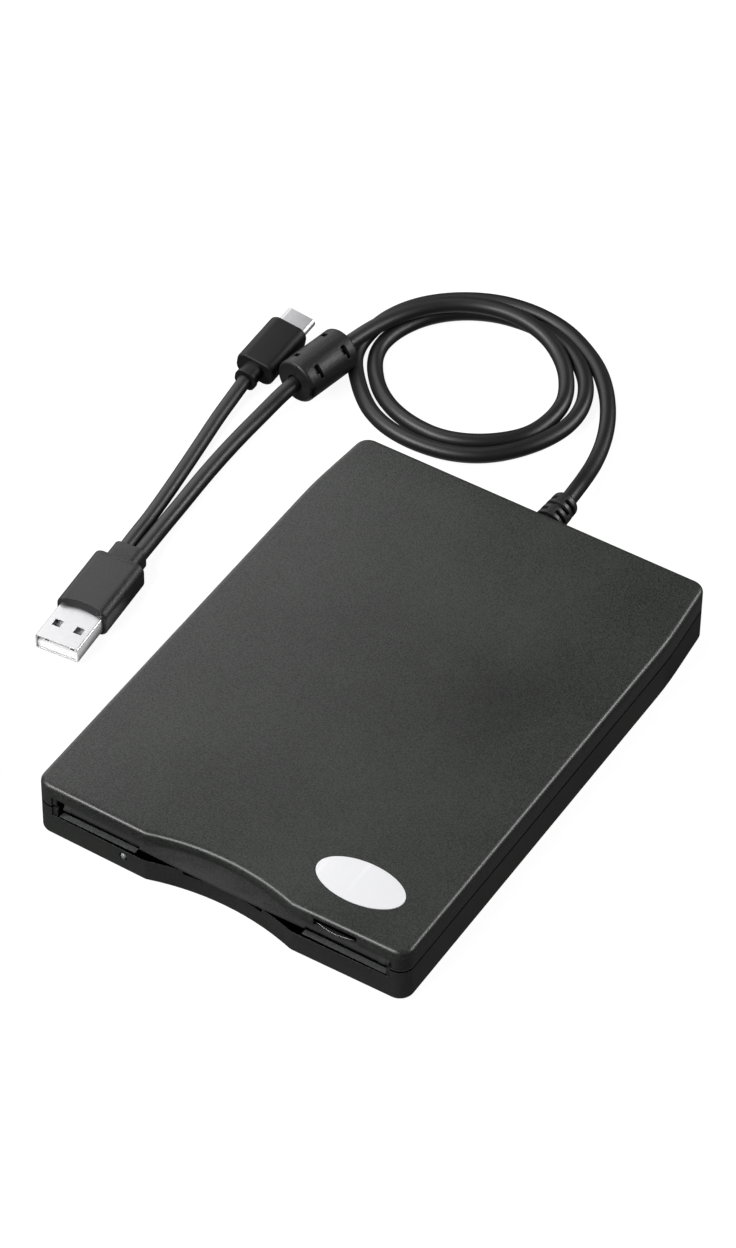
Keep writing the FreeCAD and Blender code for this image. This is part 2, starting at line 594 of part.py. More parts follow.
lever = body("shutter_lever")
ztop = roof0.v + hg.v + 0.08
d0 = math.radians(-118.6)
dx, dy = math.cos(d0), math.sin(d0)
tip = (lever_x + lever_len * dx, lever_y + lever_len * dy)
arm = [(lever_x - dy * 2.6, lever_y + dx * 2.6), (lever_x + dy * 2.6, lever_y - dx * 2.6)]
arm2 = [(tip[0] + dy * 1.4, tip[1] - dx * 1.4), (tip[0] - dy * 1.4, tip[1] + dx * 1.4)]
plate(lever, [[(arm[0][0], arm[0][1], 2.6), (arm[1][0], arm[1][1]), (arm2[0][0], arm2[0][1], 1.4),
               (arm2[1][0], arm2[1][1])]], ztop, ztop + 0.5)
plate(lever, [("circle", tip[0], tip[1], 1.15)], 9.0, ztop + 0.2)
plate_cut(lever, [("circle", lever_x, lever_y, 1.25)], ztop - 1, ztop + 2)
node(lever, "shutter_lever")


def helix_wire(radius, pitch, turns, wire):
    """A round wire wound into a coil along Z."""
    path = Part.makeHelix(pitch, pitch * turns, radius)
    ring = Part.Wire([Part.makeCircle(wire, V(radius, 0, 0), V(0, 1, 0))])
    coil = Part.Wire(path.Edges).makePipeShell([ring], True, True)
    return coil


spring = feature("eject_spring", helix_wire(1.5, 1.035, 20, 0.25))
spring.Placement = FreeCAD.Placement(V(-29.5, 30.45, 11.0), FreeCAD.Rotation(V(1, 0, 0), -90))
node(spring, "eject_spring")

# ------------------------------------------------------------------ drive chassis and its fixed parts
pan = body("drive_chassis")
pw, pg, pz, pt = D.pan_half, D.pan_gauge, D.pan_z, D.pan_thick
slab(pan, -pw, pw, D.pan_front, D.pan_rear, pz, pz + pt)
for side in (-1, 1):
    x0, x1 = (pw - pg, pw) if side > 0 else (-pw, -pw + pg)
    slab(pan, x0, x1, -64, D.pan_rear - 1, pz, D.side_top)
# rod supports, motor bracket and the screw's front bearing
for side in (-1, 1):
    slab(pan, side * 11.0 - 2.6, side * 11.0 + 2.6, -2.4, -1.4, pz, 6.45)
slab(pan, -15.5, 20.5, 47.5, 48.3, pz, 13.6)
slab(pan, 15.0, 17.8, 25.9, 26.7, pz, 8)
slab(pan, 12.9, 17.8, 25.9, 26.7, 7.2, 10.6)
slab(pan, -32.0, -27.0, 29.6, 30.2, pz, 11.4)
# openings: rotor, carriage, stepping motor, switches, lamp
plate_cut(pan, [("circle", 0, D.spindle_y, D.rotor_rad + 1.0)], pz - 1, pz + pt + 0.05)
trench(pan, -8.2, 8.2, -6, 47.4, pz - 1, pz + pt + 0.05)
trench(pan, -16.5, 14.9, -1.0, 47.4, pz - 1, pz + pt + 0.05)
trench(pan, 14.8, 20.6, -1.0, 25.6, pz - 1, pz + pt + 0.05)
trench(pan, 14.8, 20.6, 27.0, 47.4, pz - 1, pz + pt + 0.05)
trench(pan, 8.5, 20.5, 48.4, 59.4, pz - 1, pz + pt + 0.05)
for x, y in ((39.3, -61.5), (-39.3, -61.5), (-33.0, -58.0)):
    trench(pan, x - 2.4, x + 2.4, y - 2.4, y + 2.4, pz - 1, pz + pt + 0.05)
trench(pan, D.lamp_x - 2.0, D.lamp_x + 2.0, D.pan_front - 1, -64.3, pz - 1, pz + pt + 0.05)
along_y_cut(pan, [("circle", 11.0, D.rod_z, D.rod_rad), ("circle", -11.0, D.rod_z, D.rod_rad)], -3, 49)
along_y_cut(pan, [("circle", D.screw_x, D.leadscrew_z, 0.83)], 25, 27.5)
along_y_cut(pan, [("circle", D.screw_x, D.leadscrew_z, 2.2)], 47, 49)
for y in (D.pin_front, D.pin_rear):
    lo, hi = D.pin_z - D.drop - 0.15, D.pin_z + D.overtravel * slope + 0.15
    along_x_cut(pan, [[(y + 1.1, lo), (y + 1.1, hi, 1.1), (y - 1.1, hi), (y - 1.1, lo, 1.1)]], -60, 60)
for side in (-1, 1):
    for y in (D.boss_front, D.boss_rear):
        plate_cut(pan, [("circle", side * D.boss_x, y, D.small_screw + 0.15)], pz - 1, pz + pt + 0.2)
node(pan, "drive_chassis")

small = []
for side in (-1, 1):
    for y in (D.boss_front, D.boss_rear):
        small.append(fuse(tick("chassis_screw"), [
            prim("Cylinder", at=(side * D.boss_x, y, 2.1), Radius=D.small_screw - 0.2, Height=3.0),
            prim("Cylinder", at=(side * D.boss_x, y, pz + pt), Radius=1.7, Height=0.8)]))
node(group("chassis_screws", small), "chassis_screws")

shield = body("drive_top_shield")
slab(shield, -48.0, 48.0, -57, 57, 14.9, 15.25)
for side in (-1, 1):
    x0, x1 = (47.7, 48.0) if side > 0 else (-48.0, -47.7)
    slab(shield, x0, x1, -57, 45, 9.6, 15.0)
    for y in (-45.5, 16.0):
        trench(shield, -60, 60, y - 2, y + 15, 9, 15.0 - 0.1)
node(shield, "drive_top_shield")

board = body("motor_board")
plate(board, [[(-43, -65), (43, -65), (43, -53), (25, -53), (25, 2), (-7.5, 2), (-25, -4), (-25, -53), (-43, -53)],
              ("circle", 0, D.spindle_y, 2.6)], pz - 0.8, pz)
node(board, "motor_board")

bearing = body("spindle_bearing")
plate(bearing, [("circle", 0, D.spindle_y, 5.0), ("circle", 0, D.spindle_y, D.shaft_rad + D.shaft_play)], pz, 5.35)
plate(bearing, [("circle", 0, D.spindle_y, 6.4), ("circle", 0, D.spindle_y, 4.9)], pz, pz + 0.3)
node(bearing, "spindle_bearing")

stator = body("stator_core")
plate(stator, [("circle", 0, 0, 8.6), ("circle", 0, 0, 5.0)], 0, 0.8)
tooth = plate(stator, [[(8.2, -0.8), (15.2, -0.8), (15.2, -3.0), (16.9, -3.2, 17.2), (16.9, 3.2), (15.2, 3.0),
                        (15.2, 0.8), (8.2, 0.8)]], 0, 0.8)
ring = stator.newObject("PartDesign::PolarPattern", "teeth")
ring.Originals = [tooth]
ring.Axis = (tooth.Profile[0], ["N_Axis"])
ring.Angle = 360
ring.Occurrences = 12
stator.Tip = ring
stator.Placement = FreeCAD.Placement(V(0, D.spindle_y.v, 4.35), FreeCAD.Rotation())
bind(stator, "Placement.Base.y", D.spindle_y)
node(stator, "stator_core")

coils = []
for k in range(12):
    turn = FreeCAD.Rotation(V(0, 0, 1), 30 * k)
    block = Part.makeBox(4.6, 3.2, 1.3, V(10.0, -1.6, -0.25)).cut(Part.makeBox(6, 1.64, 0.82, V(9.5, -0.82, -0.01)))
    block.Placement = FreeCAD.Placement(V(0, D.spindle_y.v, 4.35), turn).multiply(block.Placement)
    coils.append(block)
node(feature("stator_coils", Part.makeCompound(coils)), "stator_coils")

rods = [prim("Cylinder", at=(side * D.rod_x, -2.4, D.rod_z), turn=ALONG_Y, Radius=D.rod_rad, Height=50.7)
        for side in (-1, 1)]
node(group("guide_rods", rods), "guide_rods")

motor = body("stepping_motor")
along_y(motor, [("circle", D.screw_x, D.leadscrew_z, 5.2), ("circle", D.screw_x, D.leadscrew_z, 0.83)], 48.9, 59.2)
along_y(motor, [("circle", D.screw_x, D.leadscrew_z, 2.1), ("circle", D.screw_x, D.leadscrew_z, 0.83)], 47.6, 49.0)
along_y(motor, [rect(D.screw_x - 5.9, D.screw_x + 5.9, D.leadscrew_z - 3.0, D.leadscrew_z + 5.0),
                ("circle", D.screw_x, D.leadscrew_z, 1.9)], 48.3, 48.95)
along_y_cut(motor, [("circle", D.screw_x, D.leadscrew_z, 0.83)], 47, 58.4)
slab(motor, 12.2, 16.8, 53.0, 57.0, 12.5, 14.3)
node(motor, "stepping_motor")

sensor = body("track_zero_sensor")
slab(sensor, -23.5, -17.2, 41.0, 47.0, pz + pt, 8.6)
trench(sensor, -21.2, -16.0, 40.0, 48.0, 6.3, 7.4)
node(sensor, "track_zero_sensor")

SWITCHES = (("write_protect_plunger", 39.3, -61.5), ("density_plunger", -39.3, -61.5),
            ("disk_present_plunger", -33.0, -58.0))
housings = []
for label, x, y in SWITCHES:
    block = prim("Box", at=(x - 2.0, y - 2.0, pz), Length=4.0, Width=4.0, Height=1.9)
    bore = prim("Cylinder", at=(x, y, pz + 0.4), Radius=0.85, Height=3.0)
    room = prim("Cylinder", at=(x, y, pz + 0.2), Radius=1.25, Height=1.3)
    housings.append(minus(tick("housing"), block, fuse(tick("bores"), [bore, room])))
node(group("switch_housings", housings), "switch_housings")
for label, x, y in SWITCHES:
    p = body(label)
    plate(p, [("circle", 0, 0, 0.8)], 5.0, 7.3)
    f = plate(p, [("circle", 0, 0, 1.15)], 5.02, 5.32)
    doc.recompute()
    round_edges(p, f, 0.3, level(7.3))
    p.Placement = FreeCAD.Placement(V(x, y, 0), FreeCAD.Rotation())
    node(p, label)

logic = body("logic_board")
slab(logic, -46, -24.4, 31.2, 57.5, 6.0, 6.8)
for x, y in ((-44, 33.5), (-44, 55), (-26.6, 33.5), (-26.6, 52.4)):
    plate(logic, [("circle", x, y, 1.6)], pz + pt, 6.2)
node(logic, "logic_board")
chips = [prim("Box", at=(-42.5, 38, 6.8), Length=9, Width=9, Height=1.2),
         prim("Box", at=(-31.6, 39, 6.8), Length=5, Width=6.5, Height=1.1),
         prim("Box", at=(-41, 50, 6.8), Length=6, Width=4, Height=0.9),
         prim("Box", at=(-35.0, 53.7, 6.8), Length=10, Width=3.4, Height=1.5)]
node(group("logic_chips", chips), "logic_chips")

usb = body("usb_board")
plate(usb, [[(-40.5, 60.8), (40.5, 60.8), (40.5, 69.2), (6.2, 69.2), (6.2, 66.4), (-5.3, 66.4), (-5.3, 69.2),
             (-40.5, 69.2)]], 4.2, 5.2)
for x in (-38.0, 0.45, 38.0):
    plate(usb, [("circle", x, 63.2, 1.6)], D.floor_z, 4.4)
node(usb, "usb_board")
chips = [prim("Box", at=(20, 61.9, 5.2), Length=7, Width=7, Height=1.2),
         prim("Box", at=(31, 63, 5.2), Length=5, Width=3.2, Height=1.4),
         prim("Box", at=(-16, 62.5, 5.2), Length=5, Width=4, Height=1.0),
         prim("Box", at=(-36, 61.4, 5.2), Length=10.5, Width=3.2, Height=1.5)]
node(group("usb_chips", chips), "usb_chips")

ribbon = body("drive_ribbon")
along_x(ribbon, [[(55.4, 8.3), (57.9, 8.3), (59.1, 7.3), (60.4, 6.7), (64.0, 6.7), (64.0, 7.0), (60.5, 7.0),
                  (59.3, 7.6), (58.0, 8.6), (55.4, 8.6)]], -34.0, -26.0)
node(ribbon, "drive_ribbon")

# The lead's inner end: four wires from the gland to a small connector on the USB board.
wires = []
for k in range(4):
    z = 6.0 + 0.45 * (k % 2)
    x = D.gland_x.v - 0.9 + 0.6 * k
    pts = [V(x, 67.5, z), V(x, 64.8 - 0.6 * (3 - k) * 0.5, z)]
    turn_y = pts[1].y
    e1 = Part.LineSegment(pts[0], V(x, turn_y + 1.2, z)).toShape()
    c = V(x + 1.2, turn_y + 1.2, z)
    e2 = Part.Arc(V(x, turn_y + 1.2, z), c + V(-1.2 * math.cos(math.pi / 4), -1.2 * math.sin(math.pi / 4), 0),
                  V(x + 1.2, turn_y, z)).toShape()
    e3 = Part.LineSegment(V(x + 1.2, turn_y, z), V(8.0, turn_y, z)).toShape()
    path = Part.Wire([e1, e2, e3])
    prof = Part.Wire([Part.makeCircle(0.21, pts[0], V(0, 1, 0))])
    wires.append(path.makePipeShell([prof], True, False))
plug = Part.makeBox(6.5, 5.0, 3.0, V(8.0, 61.7, 5.2))
node(feature("inner_lead", Part.makeCompound(wires + [plug])), "inner_lead")

# ------------------------------------------------------------------ spindle
rotor = body("spindle_rotor")
rev = sketch(rotor, "XZ_Plane", 0, [[
    (D.shaft_rad, 5.6), (19.4, 5.6), (19.4, 4.3), (D.rotor_rad, 4.3), (D.rotor_rad, 5.8), (19.7, 6.1), (D.hub_rad, 6.1),
    (D.hub_rad, D.hub_top), (8.2, D.hub_top), (8.2, 6.5), (4.2, 6.5), (4.2, D.hub_top), (D.shaft_rad, D.hub_top)]])
turn = rotor.newObject("PartDesign::Revolution", "rotor_turn")
turn.Profile = rev
turn.ReferenceAxis = (rev, ["V_Axis"])
turn.Angle = 360
plate_cut(rotor, [("circle", D.pin_offset, 0, D.drive_pin_rad)], 5.9, 8)
rotor.Placement = FreeCAD.Placement(V(0, D.spindle_y.v, 0), FreeCAD.Rotation())
bind(rotor, "Placement.Base.y", D.spindle_y)
node(rotor, "spindle_rotor")


def ring_node(label, r0, r1, z0, z1):
    b = body(label)
    plate(b, [("circle", 0, D.spindle_y, r1), ("circle", 0, D.spindle_y, r0)], z0, z1)
    return node(b, label)


ring_node("rotor_magnet", 17.6, 19.4, 4.4, 5.6)
ring_node("hub_magnet", 4.2, 8.2, 6.5, 6.85)
pin = body("drive_pin")
f = plate(pin, [("circle", D.pin_offset, D.spindle_y, D.drive_pin_rad)], 5.9, 7.85)
round_edges(pin, f, 0.5, level(7.85))
node(pin, "drive_pin")
shaft = body("spindle_shaft")
f = plate(shaft, [("circle", 0, D.spindle_y, D.shaft_rad)], 3.3, 8.0)
round_edges(shaft, f, 0.5, level(8.0), chamfer=True)
node(shaft, "spindle_shaft")

# ------------------------------------------------------------------ heads
FOLLOW_Y = 43.0


def threaded_rod(r1, r0, half, pitch, length):
    """A rod with one helical groove: its notched section, swept straight and turned by a helix."""
    a = 2 * math.pi * half / pitch

    def at(r, turn):
        return V(r * math.cos(turn), r * math.sin(turn), 0)

    section = Part.Wire([
        Part.Arc(at(r1, a), at(r1, math.pi), at(r1, -a)).toShape(), Part.LineSegment(at(r1, -a), at(r0, -a)).toShape(),
        Part.Arc(at(r0, -a), at(r0, 0), at(r0, a)).toShape(), Part.LineSegment(at(r0, a), at(r1, a)).toShape()])
    sweep = Part.BRepOffsetAPI.MakePipeShell(Part.Wire([Part.makeLine(V(0, 0, 0), V(0, 0, length))]))
    sweep.setAuxiliarySpine(Part.Wire(Part.makeHelix(pitch, length, 3.0).Edges), True, 0)
    sweep.add(section, False, False)
    sweep.build()
    sweep.makeSolid()
    return sweep.shape()


THREAD_Y, THREAD_LEN = 26.9, 20.3
thread = feature("screw_thread", threaded_rod(D.leadscrew_rad.v, 0.97, 0.55, D.screw_pitch.v, THREAD_LEN))
# the groove faces the follower's pin when the carriage is at rest
phase = (FOLLOW_Y - THREAD_Y) / D.screw_pitch.v * 360.0
thread.Placement = FreeCAD.Placement(
    V(D.screw_x.v, THREAD_Y, D.leadscrew_z.v),
    FreeCAD.Rotation(V(1, 0, 0), -90).multiply(FreeCAD.Rotation(V(0, 0, 1), 180 - phase)))
ends = [prim("Cylinder", at=(D.screw_x, 25.3, D.leadscrew_z), turn=ALONG_Y, Radius=0.8, Height=2.0),
        prim("Cylinder", at=(D.screw_x, 46.8, D.leadscrew_z), turn=ALONG_Y, Radius=0.8, Height=11.4)]
node(fuse("lead_screw", [thread] + ends), "lead_screw")

car = body("head_carriage")
hy = D.head_y
# nose under the lower head, then the wide sled on the rods
slab(car, -5.0, 5.0, hy - 4.4, hy + 6, 4.9, 6.3)
slab(car, -14.6, 14.2, hy + 4.6, 44.6, 4.6, 6.2)
for y0 in (hy + 4.6, 38.6):
    slab(car, -14.0, -8.0, y0, y0 + 6.0, 2.95, 6.4)
slab(car, 8.6, 13.6, 34.0, 44.6, 2.95, 6.2)
# rear post that carries the upper arm's pivot
slab(car, -6.5, 6.5, 40.6, 45.0, 5.0, 9.6)
for x0, x1 in ((-6.5, -4.9), (4.9, 6.5)):
    slab(car, x0, x1, 40.6, 45.0, 9.0, 12.2)
# arm that reaches the lead screw
slab(car, 6.0, 12.4, FOLLOW_Y - 1.4, FOLLOW_Y + 1.4, 6.0, 9.6)
slab(car, -15.6, -13.9, 43.3, 44.5, 4.8, 7.1)
slab(car, -20.4, -14.0, 43.3, 44.5, 6.6, 7.1)
along_x(car, [("circle", FOLLOW_Y, D.leadscrew_z, 0.42)], 12.2, 13.45)
for side, z0 in ((-1, 0), (1, 0)):
    along_y_cut(car, [("circle", side * 11.0, D.rod_z, D.rod_rad + D.rod_play)], -5, 60)
trench(car, 12.3, 14.6, 30, 46, 2, 6.3)
along_x_cut(car, [("circle", 42.85, 11.0, 0.65)], -10, 10)
node(car, "head_carriage")

lower = body("lower_head")
f = plate(lower, [("circle", 0, hy, 2.6)], 6.3, 7.7)
f = plate(lower, [rect(-1.4, 1.4, hy - 1.6, hy + 1.6)], 7.6, 8.12)
node(lower, "lower_head")

arm = body("upper_head_arm")
slab(arm, -4.2, 4.2, hy - 3.6, 41.2, 12.35, 12.95)
slab(arm, -4.2, -3.4, hy + 4, 40.0, 12.35, 13.1)
slab(arm, 3.4, 4.2, hy + 4, 40.0, 12.35, 13.1)
slab(arm, 4.0, 9.0, 29.0, 31.0, 12.35, 12.85)
slab(arm, -4.2, 4.2, 41.0, 44.0, 9.95, 12.95)
plate_cut(arm, [rect(-1.6, 1.6, 24, 36)], 12, 14)
along_x(arm, [("circle", 42.85, 11.0, 0.62)], -6.6, 6.6)
trench(arm, -4.9, 4.9, 44.0, 46, 9, 14)
node(arm, "upper_head_arm")
upper = body("upper_head")
plate(upper, [("circle", 0, hy, 2.6)], 11.95, 12.35)
plate(upper, [rect(-1.4, 1.4, hy - 1.6, hy + 1.6)], 11.6, 12.0)
node(upper, "upper_head")


# ------------------------------------------------------------------ lead: gland, cords, ferrite, plugs
def ring_piece(r0, r1, y0, y1, webs):
    """An annulus about the gland's axis with two webs left standing: webs is "v" or "h"."""
    cut = Part.makeCylinder(r1, y1 - y0, V(0, y0, 0), V(0, 1, 0)).cut(
        Part.makeCylinder(r0, y1 - y0, V(0, y0, 0), V(0, 1, 0)))
    web = (Part.makeBox(2.2, y1 - y0, 3 * r1, V(-1.1, y0, -1.5 * r1)) if webs == "v" else
           Part.makeBox(3 * r1, y1 - y0, 2.2, V(-1.5 * r1, y0, -1.1)))
    return cut.cut(web)


back = D.back_y.v
gland = Part.makeCone(D.gland_base.v, D.gland_tip.v, D.gland_end.v - back, V(0, back, 0), V(0, 1, 0))
tip_edges = [e for e in gland.Edges if abs(e.BoundBox.YMin - D.gland_end.v) < 1e-3 and e.Length > 15]
gland = gland.makeFillet(1.1, tip_edges)
neck = Part.makeCylinder(3.65, 2.4, V(0, back - 2.2, 0), V(0, 1, 0)).fuse(
    Part.makeBox(7.3, 2.4, 3.65, V(-3.65, back - 2.2, 0)))
flange = Part.makeBox(9.4, 2.0, 7.4, V(-4.7, back - D.wall.v - 2.1, -3.75))
gland = gland.fuse([neck.common(Part.makeBox(20, 20, 7.3, V(-10, back - 10, -3.65))), flange])
slots = []
for k, y in enumerate((72.65, 75.05, 77.45, 79.85, 82.25, 84.65)):
    slots.append(ring_piece(2.5, 6.0, y - D.gland_slot.v / 2, y + D.gland_slot.v / 2, "v" if k % 2 else "h"))
gland = gland.cut(Part.makeCompound(slots)).removeSplitter()
g = feature("cable_gland", gland)
g.Placement = FreeCAD.Placement(V(D.gland_x.v, 0, D.gland_z.v), FreeCAD.Rotation())
node(g, "cable_gland")


def cord(label, points, radius):
    """Straight runs joined by tangent arcs, each arc as large as 0.45 of its shorter run allows."""
    pts = [V(*p) for p in points]
    edges, here, radii = [], pts[0], []
    for i in range(1, len(pts) - 1):
        a, b, c = pts[i - 1], pts[i], pts[i + 1]
        u, w = (b - a), (c - b)
        lu, lw = u.Length, w.Length
        u, w = V(u).normalize(), V(w).normalize()
        turn = math.acos(max(-1.0, min(1.0, u.dot(w))))
        reach = 0.45 * min(lu, lw)
        rad = reach / math.tan(turn / 2)
        radii.append(rad)
        p, r = b - u * reach, b + w * reach
        inward = V(w - u).normalize()
        centre_far = rad / math.cos(turn / 2)
        mid = b + inward * (centre_far - rad)
        if (p - here).Length > 1e-6:
            edges.append(Part.LineSegment(here, p).toShape())
        edges.append(Part.Arc(p, mid, r).toShape())
        here = r
    edges.append(Part.LineSegment(here, pts[-1]).toShape())
    path = Part.Wire(edges)
    start = (pts[1] - pts[0]).normalize()
    prof = Part.Wire([Part.makeCircle(radius, pts[0], start)])
    tube = path.makePipeShell([prof], True, False)
    ideal = math.pi * radius ** 2 * path.Length
    print("%s: length %.1f mm, volume/ideal %.4f, radii %s, turns max %.0f" % (
        label, path.Length, tube.Volume / ideal, " ".join("%.0f" % r for r in radii),
        max(math.degrees(math.acos(max(-1, min(1, V(pts[i] - pts[i - 1]).normalize().dot(
            V(pts[i + 1] - pts[i]).normalize()))))) for i in range(1, len(pts) - 1))))
    return node(feature(label, tube), label)


EXIT_RUN = [(0.45, 87.4, 6.7), (-0.1, 93.2, 6.1), (-1.5, 100.2, 4.0), (-3.0, 107.8, 2.5), (-5.3, 116.2, 2.13),
            (-8.9, 124.4, 2.12), (-13.9, 132.1, 2.12), (-20.0, 138.6, 2.12), (-26.4, 142.9, 2.12)]
cord("cord_exit_run", EXIT_RUN, D.cord_rad.v)
# From the coil over itself, through the ferrite's bore, down to the surface and on to the plug.
MAIN_RUN = [(-22.6, 127.0, 2.12), (-28.2, 134.9, 2.9), (-36.6, 139.9, 4.8), (-46.6, 141.3, 6.0), (-56.3, 139.6, 6.1),
            (-64.6, 134.6, 6.2), (-70.8, 127.2, 6.2), (-75.0, 118.2, 6.2), (-77.64, 107.03, 6.2),
            (-81.21, 86.72, 6.2), (-83.3, 76.8, 3.1), (-84.3, 67.6, 2.13), (-84.3, 58.2, 2.12), (-83.9, 48.6, 2.12),
            (-83.2, 39.0, 2.12), (-82.3, 29.6, 2.2), (-81.2, 22.2, 3.3), (-80.4, 15.35, 3.95)]
cord("cord_main_run", MAIN_RUN, D.cord_rad.v)
BRANCH = [(-84.5, 15.0, 3.95), (-85.5, 21.6, 3.4), (-86.7, 29.3, 2.1), (-88.1, 39.8, 1.92), (-89.7, 50.6, 1.92),
          (-91.3, 61.0, 1.92), (-92.8, 70.2, 1.95), (-93.4, 77.6, 2.5), (-93.5, 84.05, 3.9)]
cord("cord_branch", BRANCH, D.branch_rad.v)


# The coil's outer shape: two turns lying side by side on the surface.
OUTER_TURN = [(-47.8, 150.3), (-56.2, 148.8), (-64.6, 144.8), (-71.8, 138.4), (-76.4, 131.2), (-78.9, 123.2),
              (-79.2, 115.4), (-77.5, 107.5), (-73.2, 101.6), (-67.4, 95.2), (-60.0, 90.0), (-50.5, 87.4), (-40.0, 87.7),
              (-31.0, 90.3), (-23.4, 95.4), (-17.6, 103.4), (-14.2, 112.6), (-13.5, 121.0), (-15.0, 129.5),
              (-18.0, 137.3), (-24.6, 144.3), (-32.8, 148.6), (-40.5, 150.2)]
INNER_TURN = [(-47.5, 141.3), (-53.8, 139.8), (-60.6, 136.4), (-66.2, 130.8), (-69.4, 123.4), (-70.3, 117.4),
              (-69.2, 112.9), (-66.8, 108.2), (-62.0, 102.6), (-55.4, 98.6), (-48.4, 96.9), (-41.2, 96.8), (-33.2, 100.1),
              (-26.2, 106.2), (-23.7, 110.6), (-22.6, 119.8), (-25.2, 127.0), (-29.8, 133.6), (-37.5, 138.8)]


def ring_face(points, z):
    curve = Part.BSplineCurve()
    curve.interpolate([V(x, y, z) for x, y in points], PeriodicFlag=True)
    return Part.Face(Part.Wire([curve.toShape()]))


near, far = V(-80.95, 88.2, 6.2), V(-77.9, 105.55, 6.2)
axis = (far - near).normalize()
coil = ring_face(OUTER_TURN, 0.02).extrude(V(0, 0, 4.2)).cut(ring_face(INNER_TURN, -1).extrude(V(0, 0, 8)))
coil = coil.makeFillet(1.2, [e for e in coil.Edges if abs(e.BoundBox.ZMin - e.BoundBox.ZMax) < 1e-6])
coil = coil.cut(Part.makeCylinder(D.ferrite_rad.v + 0.15, D.ferrite_len.v + 3, near - axis * 1.5, axis))
node(feature("cord_coil", coil), "cord_coil")

# Ferrite: two hinged case halves round a split core.
yaw = math.degrees(math.atan2(axis.y, axis.x))
clip_place = FreeCAD.Placement(near, FreeCAD.Rotation(V(0, 0, 1), yaw).multiply(FreeCAD.Rotation(V(1, 0, 0), 96)))
fl, fr = D.ferrite_len.v, D.ferrite_rad.v
hull = Part.makeCylinder(fr, fl, V(0, 0, 0), V(1, 0, 0))
hull = hull.makeFillet(1.0, [e for e in hull.Edges if abs(e.BoundBox.XMin - e.BoundBox.XMax) < 1e-6])
hull = hull.cut(Part.makeCylinder(4.6, fl - 2.4, V(1.2, 0, 0), V(1, 0, 0)))
hull = hull.cut(Part.makeCylinder(2.3, fl + 2, V(-1, 0, 0), V(1, 0, 0)))
# latch slots in the half that faces right, small windows in the half that faces left, notches at the rims
for x, a, wide in ((4.1, -45, 3.9), (14.1, -45, 3.9), (3.7, -122, 1.8), (14.0, -122, 1.8)):
    slot = Part.makeBox(1.4, wide, 3.0, V(x - 0.7, -wide / 2, 4.7))
    if wide > 3:
        slot = Part.makeBox(1.9, wide, 3.0, V(x - 0.95, -wide / 2, 4.7)).cut(
            Part.makeBox(0.9, 1.7, 4.0, V(x - 0.95, -wide / 2 - 0.1, 4.2)))
    slot.rotate(V(0, 0, 0), V(1, 0, 0), a)
    hull = hull.cut(slot)
for x, deep in ((-0.5, 2.1), (fl - 0.9, 1.4)):
    hull = hull.cut(Part.makeBox(deep, 3.6, 2.0, V(x, -1.8, 5.2)))
right_half = hull.common(Part.makeBox(60, 40, 20, V(-20, -20, 0.04)))
left_half = hull.common(Part.makeBox(60, 40, 20, V(-20, -20, -20.04)))
for label, shape in (("ferrite_case_right", right_half), ("ferrite_case_left", left_half)):
    o = feature(label, shape)
    o.Placement = clip_place
    node(o, label)
core = Part.makeCylinder(4.5, fl - 2.6, V(1.3, 0, 0), V(1, 0, 0)).cut(
    Part.makeCylinder(2.45, fl, V(0, 0, 0), V(1, 0, 0)))
core = Part.makeCompound([core.common(Part.makeBox(60, 40, 20, V(-20, -20, 0.05))),
                          core.common(Part.makeBox(60, 40, 20, V(-20, -20, -20.05)))])
o = feature("ferrite_core", core)
o.Placement = clip_place
node(o, "ferrite_core")


def plug_frame(b, base, heading, roll=0.0):
    """Local +X points out of the plug's tip; a positive roll lifts the side on local +Y."""
    b.Placement = FreeCAD.Placement(V(*base), FreeCAD.Rotation(V(0, 0, 1), heading).multiply(
        FreeCAD.Rotation(V(1, 0, 0), roll)))


def round_box(b, x0, x1, half_w, half_z, rad):
    """A block along local X with rounded long edges."""
    w, z, r = q(half_w), q(half_z), rad
    loop = [(-w + r, -z), (w - r, -z, r), (w, -z + r), (w, z - r, r), (w - r, z), (-w + r, z, r), (-w, z - r),
            (-w, -z + r, r)]
    return along_x(b, [loop], x0, x1)


A_AT, A_DIR = (-80.15, -9.5, 4.0), -85.0
om = body("usb_a_overmould_block")
f = round_box(om, -D.plug_a_len, 0, D.plug_a_w / 2, D.plug_a_thick / 2, 2.4)
f = round_edges(om, f, 0.8, lambda e: abs(e.BoundBox.XMin - e.BoundBox.XMax) < 1e-6)
round_box(om, -24.8, -19.5, 4.45, 3.5, 2.2)
for z in (-1, 1):
    along_y_cut(om, [rect(-18.65, -18.4, 3.88, 5)] if z > 0 else [rect(-18.65, -18.4, -5, -3.88)], -8, 8)
along_x_cut(om, [rect(-5.98, 5.98, -2.23, 2.23)], -6.0, 1)
# the front's top edge is scooped, deepest in the middle
scoop = prim("Cylinder", "usb_a_front_scoop", at=(17.8 + 1.1, 0, D.plug_a_thick / 2 - 2.0),
             turn=FreeCAD.Rotation(V(0, 0, 1), V(-0.55, 0, 1)), Radius=16.9, Height=14)
om = minus("usb_a_overmould", om, scoop)
plug_frame(om, A_AT, A_DIR)
node(om, "usb_a_overmould")

